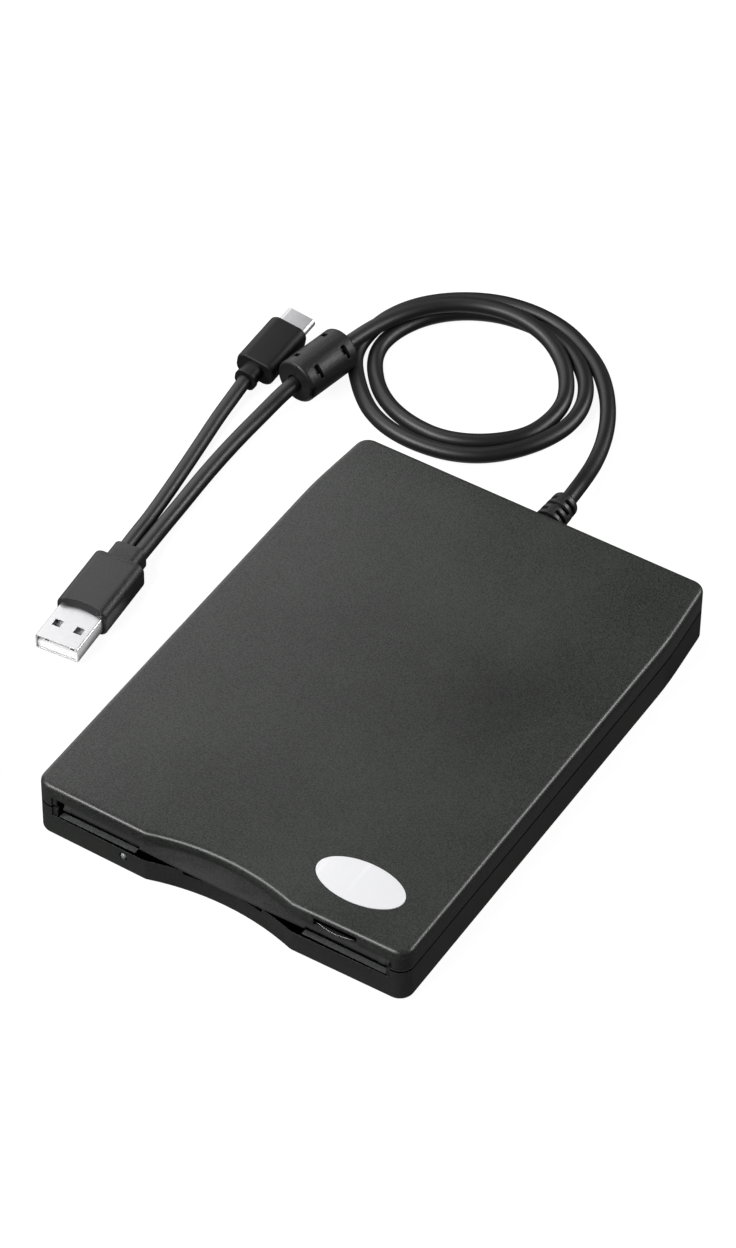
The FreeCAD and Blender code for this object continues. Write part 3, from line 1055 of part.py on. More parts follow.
sh = body("usb_a_shell")
f = along_x(sh, [rect(-D.shell_a_w / 2 + 0.03, D.shell_a_w / 2 - 0.03, -D.shell_a_thick / 2 + 0.03,
                      D.shell_a_thick / 2 - 0.03)], -5.9, D.shell_a_len)
round_edges(sh, f, 0.55, lambda e: e.Length > 10 and abs(e.BoundBox.XMax - e.BoundBox.XMin) > 10)
along_x_cut(sh, [rect(-D.shell_a_w / 2 + 0.33, D.shell_a_w / 2 - 0.33, -D.shell_a_thick / 2 + 0.33,
                      D.shell_a_thick / 2 - 0.33)], -6.5, D.shell_a_len + 1)
for y in (-3.0, 3.0):
    plate_cut(sh, [rect(5.0, 7.3, y - 1.15, y + 1.15)], -4, 4)
plug_frame(sh, A_AT, A_DIR)
node(sh, "usb_a_shell")

to = body("usb_a_tongue")
slab(to, -5.9, D.shell_a_len - 0.5, -5.62, 5.62, -1.88, 0.05)
plug_frame(to, A_AT, A_DIR)
node(to, "usb_a_tongue")
con = []
for k, (y, n) in enumerate(((-3.5, 10.9), (-1.0, 9.9), (1.0, 9.9), (3.5, 10.9))):
    con.append(Part.makeBox(n - 7.5, 1.0, 0.12, V(7.5, y - 0.5, 0.05)))
o = feature("usb_a_contacts", Part.makeCompound(con))
o.Placement = FreeCAD.Placement(V(*A_AT), FreeCAD.Rotation(V(0, 0, 1), A_DIR))
node(o, "usb_a_contacts")

C_AT, C_DIR, C_ROLL = (-94.25, 105.9, 3.95), 92.0, 9.0
om = body("usb_c_overmould")
f = round_box(om, -D.plug_c_len, 0, D.plug_c_w / 2, D.plug_c_thick / 2, 2.7)
f = round_edges(om, f, 0.7, lambda e: abs(e.BoundBox.XMin - e.BoundBox.XMax) < 1e-6)
round_box(om, -20.8, -17.1, 2.75, 2.55, 2.2)
round_box(om, -21.9, -20.7, 3.05, 2.85, 2.45)
along_x_cut(om, [[(-2.92, -1.25), (2.92, -1.25, 1.25), (2.92, 1.25), (-2.92, 1.25, 1.25)]], -5.0, 1)
plug_frame(om, C_AT, C_DIR, C_ROLL)
node(om, "usb_c_overmould")
sh = body("usb_c_shell")
r, h = 1.25, 2.92
f = along_x(sh, [[(-h, -r), (h, -r, r), (h, r), (-h, r, r)]], -5.0, D.shell_c_len)
along_x_cut(sh, [[(-h, -0.95), (h, -0.95, 0.95), (h, 0.95), (-h, 0.95, 0.95)]], -6, D.shell_c_len + 1)
plug_frame(sh, C_AT, C_DIR, C_ROLL)
node(sh, "usb_c_shell")
to = body("usb_c_insert")
f = along_x(to, [[(-h, -0.93), (h, -0.93, 0.93), (h, 0.93), (-h, 0.93, 0.93)]], -5.0, D.shell_c_len - 0.4)
along_x_cut(to, [rect(-3.2, 3.2, -0.42, 0.42)], 0.5, D.shell_c_len + 1)
plug_frame(to, C_AT, C_DIR, C_ROLL)
node(to, "usb_c_insert")

# ------------------------------------------------------------------ checks and files
doc.recompute()
bad = [(o.Label, o.State) for o in doc.Objects if "Invalid" in o.State or "Error" in o.State]
if bad:
    raise RuntimeError("failed objects: %s" % bad)
for label, obj in nodes:
    s = obj.Shape
    if s.isNull() or not s.isValid() or not s.Solids:
        raise RuntimeError("bad shape: %s" % label)
labels = [label for label, _ in nodes]
if len(set(labels)) != len(labels) or len(labels) > 60:
    raise RuntimeError("labels: %d" % len(labels))
os.makedirs("parts", exist_ok=True)
for label, obj in nodes:
    obj.Shape.exportStep("parts/%s.step" % label)
    b = obj.Shape.BoundBox
    print("%-24s solids %2d vol %9.1f  x %7.2f %7.2f  y %7.2f %7.2f  z %6.2f %6.2f" % (
        label, len(obj.Shape.Solids), obj.Shape.Volume, b.XMin, b.XMax, b.YMin, b.YMax, b.ZMin, b.ZMax))
print("nodes", len(nodes))
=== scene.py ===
"""External USB floppy disk drive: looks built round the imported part, in metres and in its frame."""

import math

import bmesh
import bpy
from mathutils import Matrix, Vector


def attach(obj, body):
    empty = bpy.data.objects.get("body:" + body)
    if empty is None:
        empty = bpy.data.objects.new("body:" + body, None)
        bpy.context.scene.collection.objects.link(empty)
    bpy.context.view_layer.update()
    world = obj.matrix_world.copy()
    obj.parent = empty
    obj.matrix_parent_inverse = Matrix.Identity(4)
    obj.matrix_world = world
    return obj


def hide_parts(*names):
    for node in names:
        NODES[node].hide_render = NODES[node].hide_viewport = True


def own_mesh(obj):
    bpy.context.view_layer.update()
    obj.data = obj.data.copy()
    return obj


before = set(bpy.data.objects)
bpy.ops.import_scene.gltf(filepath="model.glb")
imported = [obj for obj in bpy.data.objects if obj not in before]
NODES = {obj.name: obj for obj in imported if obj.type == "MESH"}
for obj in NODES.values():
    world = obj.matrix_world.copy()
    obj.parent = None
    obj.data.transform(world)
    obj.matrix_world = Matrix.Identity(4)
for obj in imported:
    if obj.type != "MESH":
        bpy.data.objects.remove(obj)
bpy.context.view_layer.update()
MM = 0.001


# ---------------------------------------------------------------- camera, floor, light

def look(azimuth, elevation, roll=0.0):
    """Camera axes (right, up, back) for a view from that azimuth and elevation."""
    a, e, w = (math.radians(x) for x in (azimuth, elevation, roll))
    back = Vector((math.sin(a) * math.cos(e), -math.cos(a) * math.cos(e), math.sin(e)))
    right = Vector((math.cos(a), math.sin(a), 0))
    up = back.cross(right)
    return (right * math.cos(w) + up * math.sin(w), up * math.cos(w) - right * math.sin(w), back)


right, up, back = look(31.797, 45.223, 0.631)
camera = bpy.data.objects.new("camera", bpy.data.cameras.new("camera"))
camera.data.lens = 147.72
camera.data.sensor_width = 36.0
camera.data.clip_start, camera.data.clip_end = 0.05, 20.0
m = Matrix((right, up, back)).transposed().to_4x4()
m.translation = Vector((445.09, -723.44, 893.29)) * MM
camera.matrix_world = m
bpy.context.scene.collection.objects.link(camera)
bpy.context.scene.camera = camera

scene = bpy.context.scene
scene.view_settings.view_transform = "Standard"
scene.view_settings.look = "None"
scene.view_settings.exposure = 0.0


def link(obj):
    bpy.context.scene.collection.objects.link(obj)
    return obj


def mesh_object(name, bm, smooth=True):
    me = bpy.data.meshes.new(name)
    bm.to_mesh(me)
    bm.free()
    for p in me.polygons:
        p.use_smooth = smooth
    return link(bpy.data.objects.new(name, me))


class Tree:
    """A node tree with short calls."""

    def __init__(self, tree):
        self.t = tree
        self.t.nodes.clear()

    def add(self, kind, values=None, **props):
        n = self.t.nodes.new(kind)
        for k, v in props.items():
            setattr(n, k, v)
        for k, v in (values or {}).items():
            if isinstance(v, bpy.types.NodeSocket):
                self.t.links.new(v, n.inputs[k])
            else:
                n.inputs[k].default_value = v
        return n

    def math(self, op, a, b=0.0, clamp=False):
        n = self.add("ShaderNodeMath", operation=op, use_clamp=clamp)
        for i, v in enumerate((a, b)):
            if isinstance(v, bpy.types.NodeSocket):
                self.t.links.new(v, n.inputs[i])
            else:
                n.inputs[i].default_value = v
        return n.outputs[0]

    def span(self, value, a, b, c, d):
        n = self.add("ShaderNodeMapRange", {"Value": value, "From Min": a, "From Max": b, "To Min": c, "To Max": d}, clamp=True)
        return n.outputs[0]

    def noise(self, at, scale, detail=2.0, rough=0.5, distortion=0.0):
        n = self.add("ShaderNodeTexNoise", {"Vector": at, "Scale": scale, "Detail": detail, "Roughness": rough, "Distortion": distortion})
        return n.outputs[0]

    def cells(self, at, scale, feature="F1", smooth=0.0):
        n = self.add("ShaderNodeTexVoronoi", {"Vector": at, "Scale": scale}, feature=feature)
        if "Smoothness" in n.inputs:
            n.inputs["Smoothness"].default_value = smooth
        return n.outputs["Distance"]

    def blend(self, factor, a, b, mode="MIX"):
        n = self.add("ShaderNodeMix", data_type="RGBA", blend_type=mode)
        for sock, v in ((n.inputs[0], factor), (n.inputs[6], a), (n.inputs[7], b)):
            if isinstance(v, bpy.types.NodeSocket):
                self.t.links.new(v, sock)
            else:
                sock.default_value = v if not isinstance(v, tuple) or len(v) == 4 else (*v, 1)
        return n.outputs[2]

    def bump(self, height, distance, strength=1.0, normal=None):
        v = {"Height": height, "Distance": distance, "Strength": strength}
        if normal is not None:
            v["Normal"] = normal
        return self.add("ShaderNodeBump", v).outputs[0]


def plane(name, size, z=0.0):
    bm = bmesh.new()
    bmesh.ops.create_grid(bm, x_segments=1, y_segments=1, size=size)
    bmesh.ops.translate(bm, vec=(0, 0, z), verts=bm.verts)
    return mesh_object(name, bm, smooth=False)


floor = plane("floor", 6.0, z=-0.0001)
mat = bpy.data.materials.new("floor_paper")
mat.use_nodes = True
t = Tree(mat.node_tree)
at = t.add("ShaderNodeTexCoord").outputs["Object"]
tone = t.blend(t.noise(at, 3.0, 2.0), (0.15, 0.15, 0.15, 1), (0.17, 0.17, 0.17, 1))
card = t.add("ShaderNodeBsdfDiffuse", {"Color": tone}).outputs[0]
glow = t.add("ShaderNodeEmission", {"Color": (1, 1, 1, 1), "Strength": 0.92}).outputs[0]
both = t.add("ShaderNodeAddShader", {0: card, 1: glow}).outputs[0]
clear = t.add("ShaderNodeBsdfTransparent").outputs[0]
below = t.add("ShaderNodeNewGeometry").outputs["Backfacing"]
t.add("ShaderNodeOutputMaterial", {"Surface": t.add("ShaderNodeMixShader", {0: below, 1: both, 2: clear}).outputs[0]})
floor.data.materials.append(mat)
floor.visible_glossy = False
floor.visible_diffuse = False
floor.visible_transmission = True

# white cards on the floor: they look like the floor, and light the plug's plated sides from below
card_mat = bpy.data.materials.new("white_card")
card_mat.use_nodes = True
t = Tree(card_mat.node_tree)
seen = t.add("ShaderNodeLightPath").outputs["Is Camera Ray"]
power = t.math("ADD", t.math("MULTIPLY", seen, 0.05), 0.95)
clear = t.add("ShaderNodeBsdfTransparent").outputs[0]
below = t.add("ShaderNodeNewGeometry").outputs["Backfacing"]
lit = t.add("ShaderNodeEmission", {"Color": (1, 1, 1, 1), "Strength": power}).outputs[0]
t.add("ShaderNodeOutputMaterial", {"Surface": t.add("ShaderNodeMixShader", {0: below, 1: lit, 2: clear}).outputs[0]})


def card(name, corners):
    bm = bmesh.new()
    bm.faces.new([bm.verts.new((x * MM, y * MM, -0.00002)) for x, y in corners])
    obj = mesh_object(name, bm, smooth=False)
    obj.data.materials.append(card_mat)
    return obj


card("card_front", [(-112, -62), (-68, -62), (-68, -22), (-112, -22)])
card("card_side", [(-71.5, -30), (-58, -30), (-58, 4), (-71.5, 4)])

world = bpy.data.worlds.new("studio")
scene.world = world
world.use_nodes = True
t = Tree(world.node_tree)
way = t.add("ShaderNodeTexCoord").outputs["Generated"]
parts = t.add("ShaderNodeSeparateXYZ", {"Vector": way})
z = parts.outputs["Z"]
side = t.math("ADD", t.math("MULTIPLY", parts.outputs["X"], 0.53), t.math("MULTIPLY", parts.outputs["Y"], 0.85))
below = t.span(side, -0.8, 0.8, 0.125, 0.034)
level = t.blend(t.span(z, -0.3, 0.15, 0.0, 1.0), below, t.span(z, 0.74, 0.90, 0.060, 0.030))
level = t.math("ADD", level, t.span(z, -0.97, -0.82, 0.55, 0.0))
fill = t.add("ShaderNodeBackground", {"Color": (1, 1, 1, 1), "Strength": level}).outputs[0]
white = t.add("ShaderNodeBackground", {"Color": (1, 1, 1, 1), "Strength": 1.0}).outputs[0]
seen = t.add("ShaderNodeLightPath").outputs["Is Camera Ray"]
t.add("ShaderNodeOutputWorld", {"Surface": t.add("ShaderNodeMixShader", {0: seen, 1: fill, 2: white}).outputs[0]})


def softbox(name, at, aim, size, power):
    data = bpy.data.lights.new(name, "AREA")
    data.shape = "RECTANGLE"
    data.size, data.size_y = size
    data.energy = power
    lamp = link(bpy.data.objects.new(name, data))
    at, aim = Vector(at), Vector(aim)
    lamp.matrix_world = Matrix.Translation(at) @ (at - aim).to_track_quat("Z", "Y").to_matrix().to_4x4()
    return lamp


softbox("left_back", (-0.20, 0.10, 0.11), (-0.05, 0.03, 0.0), (0.26, 0.26), 0.335)
softbox("front_strip", (-0.371, -0.61, 0.70), (0, 0, 0), (0.9, 0.21), 13.0)
softbox("right_strip", (0.64, 0.599, 0.48), (0, 0, 0), (0.9, 0.20), 7.4)


# ---------------------------------------------------------------- materials

def principled(name, color, rough, **kw):
    mat = bpy.data.materials.new(name)
    mat.use_nodes = True
    t = Tree(mat.node_tree)
    b = t.add("ShaderNodeBsdfPrincipled")
    for k, v in {"Base Color": color, "Roughness": rough, **kw}.items():
        if isinstance(v, bpy.types.NodeSocket):
            t.t.links.new(v, b.inputs[k])
        else:
            b.inputs[k].default_value = (*v, 1) if isinstance(v, tuple) and len(v) == 3 and k == "Base Color" else v
    t.add("ShaderNodeOutputMaterial", {"Surface": b.outputs[0]})
    return mat, t, b


def moulded(name, dark, light, rough, grain=1500.0, depth=0.00006, spread=0.08, fine=0.35, specular=0.5, coat=0.0,
            edge=0.00015, polish=None, rough_band_and_painted_shade=None, seam=None, gap=None, ledge=None, contrast=0.5, rays=4):
    """Moulded plastic: a spark-eroded grain of shallow rounded pits, slow shade and gloss changes, and rubbed edges.

    edge is the radius that light sees on sharp edges. polish=(z, amount) smooths rounded edges above that height,
    and seam is the height of a parting line, whose groove gets painted shade: near-black colour without shine.
    gap=(lowest, highest) paints shade the same way on what lies outside those places along Y, where a piece dips
    into a gap. ledge=(z0, z1) does so on level faces between those heights that lie behind the front wall's face,
    which bows in at the finger grip."""
    mat, t, b = principled(name, (*dark,), rough)
    at = t.add("ShaderNodeTexCoord").outputs["Object"]
    cell = t.noise(at, grain, 2.0, 0.55)
    dust = t.noise(at, grain * 2.3, 1.0, 0.5)
    height = t.math("ADD", cell, t.math("MULTIPLY", dust, fine))
    slow = t.noise(at, 22.0, 3.0, 0.55)
    geo = t.add("ShaderNodeNewGeometry")
    worn = t.span(geo.outputs["Pointiness"], 0.52, 0.62, 0.0, 0.35)
    mottle = t.math("ADD", t.math("MULTIPLY", slow, 1.0 - contrast), t.math("MULTIPLY", cell, contrast), clamp=True)
    shade = t.blend(t.span(mottle, 0.38, 0.62, 0.0, 1.0), (*dark, 1), (*light, 1))
    shade = t.blend(worn, shade, tuple(min(1, c * 1.5) for c in light) + (1,))
    gloss = t.math("ADD", t.span(slow, 0.3, 0.7, rough - spread / 2, rough + spread / 2), t.math("MULTIPLY", worn, -0.12))
    flat, painted_shade = None, None
    place = t.add("ShaderNodeSeparateXYZ", {"Vector": at}).outputs["Z"]
    if polish:
        n = t.add("ShaderNodeSeparateXYZ", {"Vector": geo.outputs["Normal"]})
        rounded = t.math("MULTIPLY", t.span(place, polish[0], polish[0] + 0.0002, 0.0, 1.0), t.span(n.outputs["Z"], 0.93, 0.985, 1.0, 0.0))
        flat = t.math("SUBTRACT", 1.0, rounded)
        gloss = t.math("SUBTRACT", gloss, t.math("MULTIPLY", rounded, polish[1]))
    # the lip-slope band between two heights is rougher, and painted shade darkens its colour halfway to near-black
    if rough_band_and_painted_shade:
        slope = t.math("MULTIPLY", t.span(place, rough_band_and_painted_shade[0], rough_band_and_painted_shade[0] + 0.0001, 0.0, 1.0), t.span(place, rough_band_and_painted_shade[1], rough_band_and_painted_shade[1] + 0.0001, 1.0, 0.0))
        gloss = t.math("ADD", gloss, t.math("MULTIPLY", slope, rough_band_and_painted_shade[2]))
        shade = t.blend(t.math("MULTIPLY", slope, 0.5), shade, (0.002, 0.002, 0.002, 1))
    # painted shade: the gap, ledge and seam masks below mark where shade falls, in gaps, on ledges behind the front
    # wall and in the parting line's groove
    if gap:
        deep = t.add("ShaderNodeSeparateXYZ", {"Vector": at}).outputs["Y"]
        shade_mask = t.math("MAXIMUM", t.span(deep, gap[0] - 0.00004, gap[0] + 0.00004, 1.0, 0.0), t.span(deep, gap[1] - 0.00004, gap[1] + 0.00004, 0.0, 1.0))
        painted_shade = shade_mask
    if ledge:
        along = t.add("ShaderNodeSeparateXYZ", {"Vector": at})
        wide = t.math("ABSOLUTE", along.outputs["X"])
        bowed = t.math("SUBTRACT", -0.0676, t.math("MULTIPLY", t.math("MULTIPLY", wide, wide), 7.2))
        face = t.math("MAXIMUM", bowed, t.span(wide, 0.0200, 0.0515, -0.07050, -0.0701))
        back = t.math("SUBTRACT", along.outputs["Y"], face)
        level = t.add("ShaderNodeSeparateXYZ", {"Vector": geo.outputs["True Normal"]}).outputs["Z"]
        shade_mask = t.math("MULTIPLY", t.span(back, 0.00006, 0.00012, 0.0, 1.0), t.span(level, 0.6, 0.7, 0.0, 1.0))
        shade_mask = t.math("MULTIPLY", shade_mask, t.math("MULTIPLY", t.span(place, ledge[0], ledge[0] + 0.0001, 0.0, 1.0), t.span(place, ledge[1], ledge[1] + 0.0001, 1.0, 0.0)))
        painted_shade = shade_mask if painted_shade is None else t.math("MAXIMUM", painted_shade, shade_mask)
    if seam:
        off = t.math("ABSOLUTE", t.math("SUBTRACT", place, seam))
        line = t.span(off, 0.00023, 0.00030, 1.0, 0.0)
        painted_shade = line if painted_shade is None else t.math("MAXIMUM", painted_shade, line)
    # painted shade: near-black colour, full roughness and no shine where those masks are set
    if painted_shade is not None:
        shade = t.blend(painted_shade, shade, (0.0008, 0.0008, 0.0008, 1))
        gloss = t.math("MAXIMUM", gloss, painted_shade)
        t.t.links.new(painted_shade, b.inputs["Metallic"])
    t.t.links.new(shade, b.inputs["Base Color"])
    t.t.links.new(gloss, b.inputs["Roughness"])
    soft = t.add("ShaderNodeBevel", {"Radius": edge}, samples=rays).outputs[0] if edge else None
    if depth:
        t.t.links.new(t.bump(height if flat is None else t.math("MULTIPLY", height, flat), depth, 1.0, soft), b.inputs["Normal"])
    elif soft:
        t.t.links.new(soft, b.inputs["Normal"])
    b.inputs["Specular IOR Level"].default_value = specular
    b.inputs["Coat Weight"].default_value = coat
    return mat


def metal(name, color, rough, brush=(1, 1, 1), scale=900.0, depth=0.00001, anisotropy=0.0, spread=0.14, edge=0.0001):
    """Sheet metal: fine drawn lines one way, and a slow change of polish."""
    mat, t, b = principled(name, (*color,), rough, Metallic=1.0)
    at = t.add("ShaderNodeTexCoord").outputs["Object"]
    lines = t.add("ShaderNodeMapping", {"Vector": at, "Scale": brush}).outputs[0]
    streak = t.noise(lines, scale, 4.0, 0.6)
    slow = t.noise(at, 60.0, 3.0, 0.6)
    shade = t.blend(t.math("MULTIPLY", streak, 0.6), (*color, 1), tuple(c * 0.78 for c in color) + (1,))
    t.t.links.new(shade, b.inputs["Base Color"])
    t.t.links.new(t.math("ADD", t.span(streak, 0.3, 0.7, rough - spread / 2, rough + spread / 2), t.span(slow, 0.3, 0.7, -0.04, 0.06)), b.inputs["Roughness"])
    soft = t.add("ShaderNodeBevel", {"Radius": edge}, samples=4).outputs[0]
    t.t.links.new(t.bump(streak, depth, 0.8, soft), b.inputs["Normal"])
    b.inputs["Anisotropic"].default_value = anisotropy
    return mat


def jacket(name, dark, light, rough):
    """Extruded soft PVC: satin, with faint draw lines and dust."""
    mat, t, b = principled(name, (*dark,), rough)
    at = t.add("ShaderNodeTexCoord").outputs["Object"]
    grain = t.noise(at, 2600.0, 3.0, 0.6)
    slow = t.noise(at, 45.0, 3.0, 0.6)
    t.t.links.new(t.blend(slow, (*dark, 1), (*light, 1)), b.inputs["Base Color"])
    t.t.links.new(t.math("ADD", t.span(slow, 0.3, 0.7, rough - 0.05, rough + 0.06), t.span(grain, 0.3, 0.7, -0.02, 0.02)), b.inputs["Roughness"])
    t.t.links.new(t.bump(grain, 0.000001, 1.0), b.inputs["Normal"])
    return mat


# painted shade on the case: the lip-slope band and the parting line of the top case, and the ledge and parting line
# of the lower case
CASE = moulded("case_plastic", (0.0050, 0.0056, 0.0050), (0.0340, 0.0370, 0.0338), 0.44, grain=2700.0, depth=0.00007,
               rays=8, edge=0.0009, polish=(0.0158, 0.08), rough_band_and_painted_shade=(0.0113, 0.0150, 0.42), seam=0.0108, contrast=0.75)
CASE_LOW = moulded("case_plastic_lower", (0.0050, 0.0056, 0.0050), (0.0210, 0.0232, 0.0208), 0.46, grain=2600.0, depth=0.00006,
                   edge=0.00012, seam=0.0108, ledge=(0.0050, 0.0100))
CORD = jacket("cord_jacket", (0.0065, 0.0065, 0.0065), (0.0105, 0.0105, 0.0105), 0.42)
PLUG = moulded("overmould", (0.0045, 0.0048, 0.0045), (0.0150, 0.0157, 0.0150), 0.42, grain=2600.0, depth=0.00006, edge=0.00025, specular=0.36)
PLUG_A = moulded("overmould_a", (0.0090, 0.0090, 0.0090), (0.0220, 0.0220, 0.0220), 0.45, grain=2600.0, depth=0.00006, edge=0.00025, specular=0.36)
PLUG_C = moulded("overmould_c", (0.0035, 0.0038, 0.0035), (0.0065, 0.0069, 0.0065), 0.50, grain=3600.0, depth=0.00002, edge=0.00025, specular=0.27)
STEEL = metal("plated_steel", (0.86, 0.86, 0.87), 0.20, brush=(1, 6, 1))
NICKEL = metal("nickel_plate", (0.64, 0.64, 0.65), 0.30, brush=(1, 6, 1), spread=0.08)
NICKEL_C = metal("nickel_plate_c", (0.68, 0.68, 0.70), 0.42, brush=(1, 6, 1), spread=0.08)
# painted shade: the slider, disk holder and chassis sit in shade behind the slot, so their steel is coloured
# near-black
STEEL_IN_SHADE = metal("steel_painted_dark_as_shade", (0.030, 0.030, 0.032), 0.55, brush=(1, 8, 1))
ZINC = metal("zinc_sheet", (0.62, 0.63, 0.65), 0.34, brush=(1, 8, 1))
BRASS = metal("brass", (0.78, 0.58, 0.26), 0.26)
COPPER = metal("copper_winding", (0.72, 0.32, 0.14), 0.32, brush=(1, 1, 8), scale=4000.0)
# dark steel for the stator and ferrite cores; on the USB-A contacts the same colour is painted shade
CORE_STEEL_AND_SHADE = metal("core_steel_and_painted_shade", (0.30, 0.30, 0.31), 0.42, brush=(1, 1, 9), scale=3000.0)
BOARD = moulded("solder_mask", (0.010, 0.060, 0.026), (0.016, 0.095, 0.042), 0.30, grain=700.0, depth=0.00002)
BLACK = moulded("black_nylon", (0.010, 0.010, 0.010), (0.018, 0.018, 0.018), 0.45, grain=2500.0, depth=0.00003)
GLAND = moulded("gland_pvc", (0.0130, 0.0130, 0.0130), (0.0200, 0.0200, 0.0200), 0.42, grain=3000.0, depth=0.00003, edge=0.0003)
IVORY = moulded("ivory_plastic", (0.62, 0.60, 0.53), (0.70, 0.68, 0.61), 0.40, grain=2500.0, depth=0.00002)
WHITE = moulded("white_plastic", (0.78, 0.78, 0.77), (0.86, 0.86, 0.85), 0.34, grain=2500.0, depth=0.00001)
RUBBER = moulded("soft_rubber", (0.020, 0.020, 0.020), (0.034, 0.034, 0.034), 0.75, grain=2400.0, depth=0.00006)
LABEL = moulded("badge_enamel", (0.662, 0.662, 0.676), (0.674, 0.674, 0.688), 0.38, grain=900.0, depth=0.000004, spread=0.02)
# painted shade: the button's back, behind its front face, is near-black
BUTTON = moulded("button_plastic", (0.0105, 0.0110, 0.0108), (0.0165, 0.0170, 0.0168), 0.24, grain=2600.0, depth=0.0, edge=0.00042, specular=1.0, rays=16,
                gap=(-0.0740, -0.06997))
# painted shade: near-black lines along the strip's front edge and at its back
STRIP = moulded("strip_plastic", (0.0160, 0.0166, 0.0163), (0.0620, 0.0645, 0.0630), 0.55, grain=2200.0, depth=0.00008, edge=0.0001, gap=(-0.06968, -0.06795), contrast=0.8)
LENS, t, b = principled("lamp_lens", (0.30, 0.31, 0.31), 0.10)
# painted shading: the lens colour goes from light grey where it faces the view to near-black at its rim, with a
# little noise
facing = t.add("ShaderNodeLayerWeight", {"Blend": 0.35}).outputs["Facing"]
ring = t.noise(t.add("ShaderNodeTexCoord").outputs["Object"], 1500.0, 1.0)
t.t.links.new(t.blend(t.span(t.math("ADD", facing, t.math("MULTIPLY", ring, 0.2)), 0.25, 0.75, 0.0, 1.0), (0.24, 0.245, 0.25, 1), (0.02, 0.02, 0.02, 1)), b.inputs["Base Color"])
b.inputs["Coat Weight"].default_value = 0.3
b.inputs["Coat Roughness"].default_value = 0.05
# painted shade: the lamp's back, inside the case, is near-black and fully rough
deep = t.add("ShaderNodeSeparateXYZ", {"Vector": t.add("ShaderNodeTexCoord").outputs["Object"]}).outputs["Y"]
shade_mask = t.span(deep, -0.0700, -0.0697, 0.0, 1.0)
lens_painted_shading = b.inputs["Base Color"].links[0].from_socket
t.t.links.new(t.blend(shade_mask, lens_painted_shading, (0.001, 0.001, 0.001, 1)), b.inputs["Base Color"])
t.t.links.new(t.span(shade_mask, 0.0, 1.0, 0.10, 1.0), b.inputs["Roughness"])

LOOK = {
    "top_cover": CASE, "bottom_cover": CASE_LOW, "oval_badge": LABEL, "rubber_feet": RUBBER, "case_screws": ZINC,
    "activity_lamp": LENS, "slot_strip_left": STRIP, "slot_strip_right": STRIP, "eject_button": BUTTON,
    "eject_slider": STEEL_IN_SHADE, "disk_holder": STEEL_IN_SHADE, "shutter_lever": ZINC, "eject_spring": STEEL, "drive_chassis": STEEL_IN_SHADE,
    "chassis_screws": STEEL, "drive_top_shield": ZINC, "motor_board": BOARD, "spindle_bearing": BRASS,
    "stator_core": CORE_STEEL_AND_SHADE, "stator_coils": COPPER, "guide_rods": STEEL, "stepping_motor": ZINC,
    "track_zero_sensor": BLACK, "switch_housings": BLACK, "write_protect_plunger": IVORY, "density_plunger": IVORY,
    "disk_present_plunger": IVORY, "logic_board": BOARD, "logic_chips": BLACK, "usb_board": BOARD, "usb_chips": BLACK,
    "drive_ribbon": IVORY, "inner_lead": CORD, "spindle_rotor": ZINC, "rotor_magnet": BLACK, "hub_magnet": BLACK,
    "drive_pin": STEEL, "spindle_shaft": STEEL, "lead_screw": STEEL, "head_carriage": BLACK, "lower_head": IVORY,
    "upper_head_arm": ZINC, "upper_head": IVORY, "cable_gland": GLAND, "ferrite_case_right": PLUG,
    "ferrite_case_left": PLUG, "ferrite_core": CORE_STEEL_AND_SHADE, "usb_a_overmould": PLUG_A, "usb_a_shell": NICKEL,
    # painted shade: the contacts take the dark steel colour because they sit in shade inside the shell
    "usb_a_tongue": WHITE, "usb_a_contacts": CORE_STEEL_AND_SHADE, "usb_c_overmould": PLUG_C, "usb_c_shell": NICKEL_C, "usb_c_insert": BLACK,
    "cord_exit_run": CORD, "cord_main_run": CORD, "cord_branch": CORD, "cord_coil": CORD,
}


def smoothing(name, degrees):
    """Geometry nodes that join doubled points and shade smooth, except across edges sharper than this."""
    g = bpy.data.node_groups.new(name, "GeometryNodeTree")
    g.interface.new_socket("Geometry", in_out="INPUT", socket_type="NodeSocketGeometry")
    g.interface.new_socket("Geometry", in_out="OUTPUT", socket_type="NodeSocketGeometry")
    add, join = g.nodes.new, g.links.new
    start, end = add("NodeGroupInput"), add("NodeGroupOutput")
    weld = add("GeometryNodeMergeByDistance")
    weld.inputs["Distance"].default_value = 1e-6
    drop = add("GeometryNodeRemoveAttribute")
    drop.inputs["Name"].default_value = "custom_normal"
    faces = add("GeometryNodeSetShadeSmooth")
    angle = add("GeometryNodeInputMeshEdgeAngle")
    over = add("FunctionNodeCompare")
    over.data_type, over.operation = "FLOAT", "GREATER_THAN"
    over.inputs["B"].default_value = math.radians(degrees)
    edges = add("GeometryNodeSetShadeSmooth")
    edges.domain = "EDGE"
    edges.inputs["Shade Smooth"].default_value = False
    join(start.outputs[0], weld.inputs["Geometry"])
    join(weld.outputs[0], drop.inputs["Geometry"])
    join(drop.outputs[0], faces.inputs["Geometry"])
    join(faces.outputs[0], edges.inputs["Geometry"])
    join(angle.outputs["Unsigned Angle"], over.inputs["A"])
    join(over.outputs["Result"], edges.inputs["Selection"])
    join(edges.outputs[0], end.inputs[0])
    return g


SOFT_SHADE = smoothing("soft_shade", 32.0)
for name, obj in NODES.items():
    obj.data.materials.clear()
    obj.data.materials.append(LOOK[name])
    obj.modifiers.new("soft_shade", "NODES").node_group = SOFT_SHADE


# ---------------------------------------------------------------- eject spring

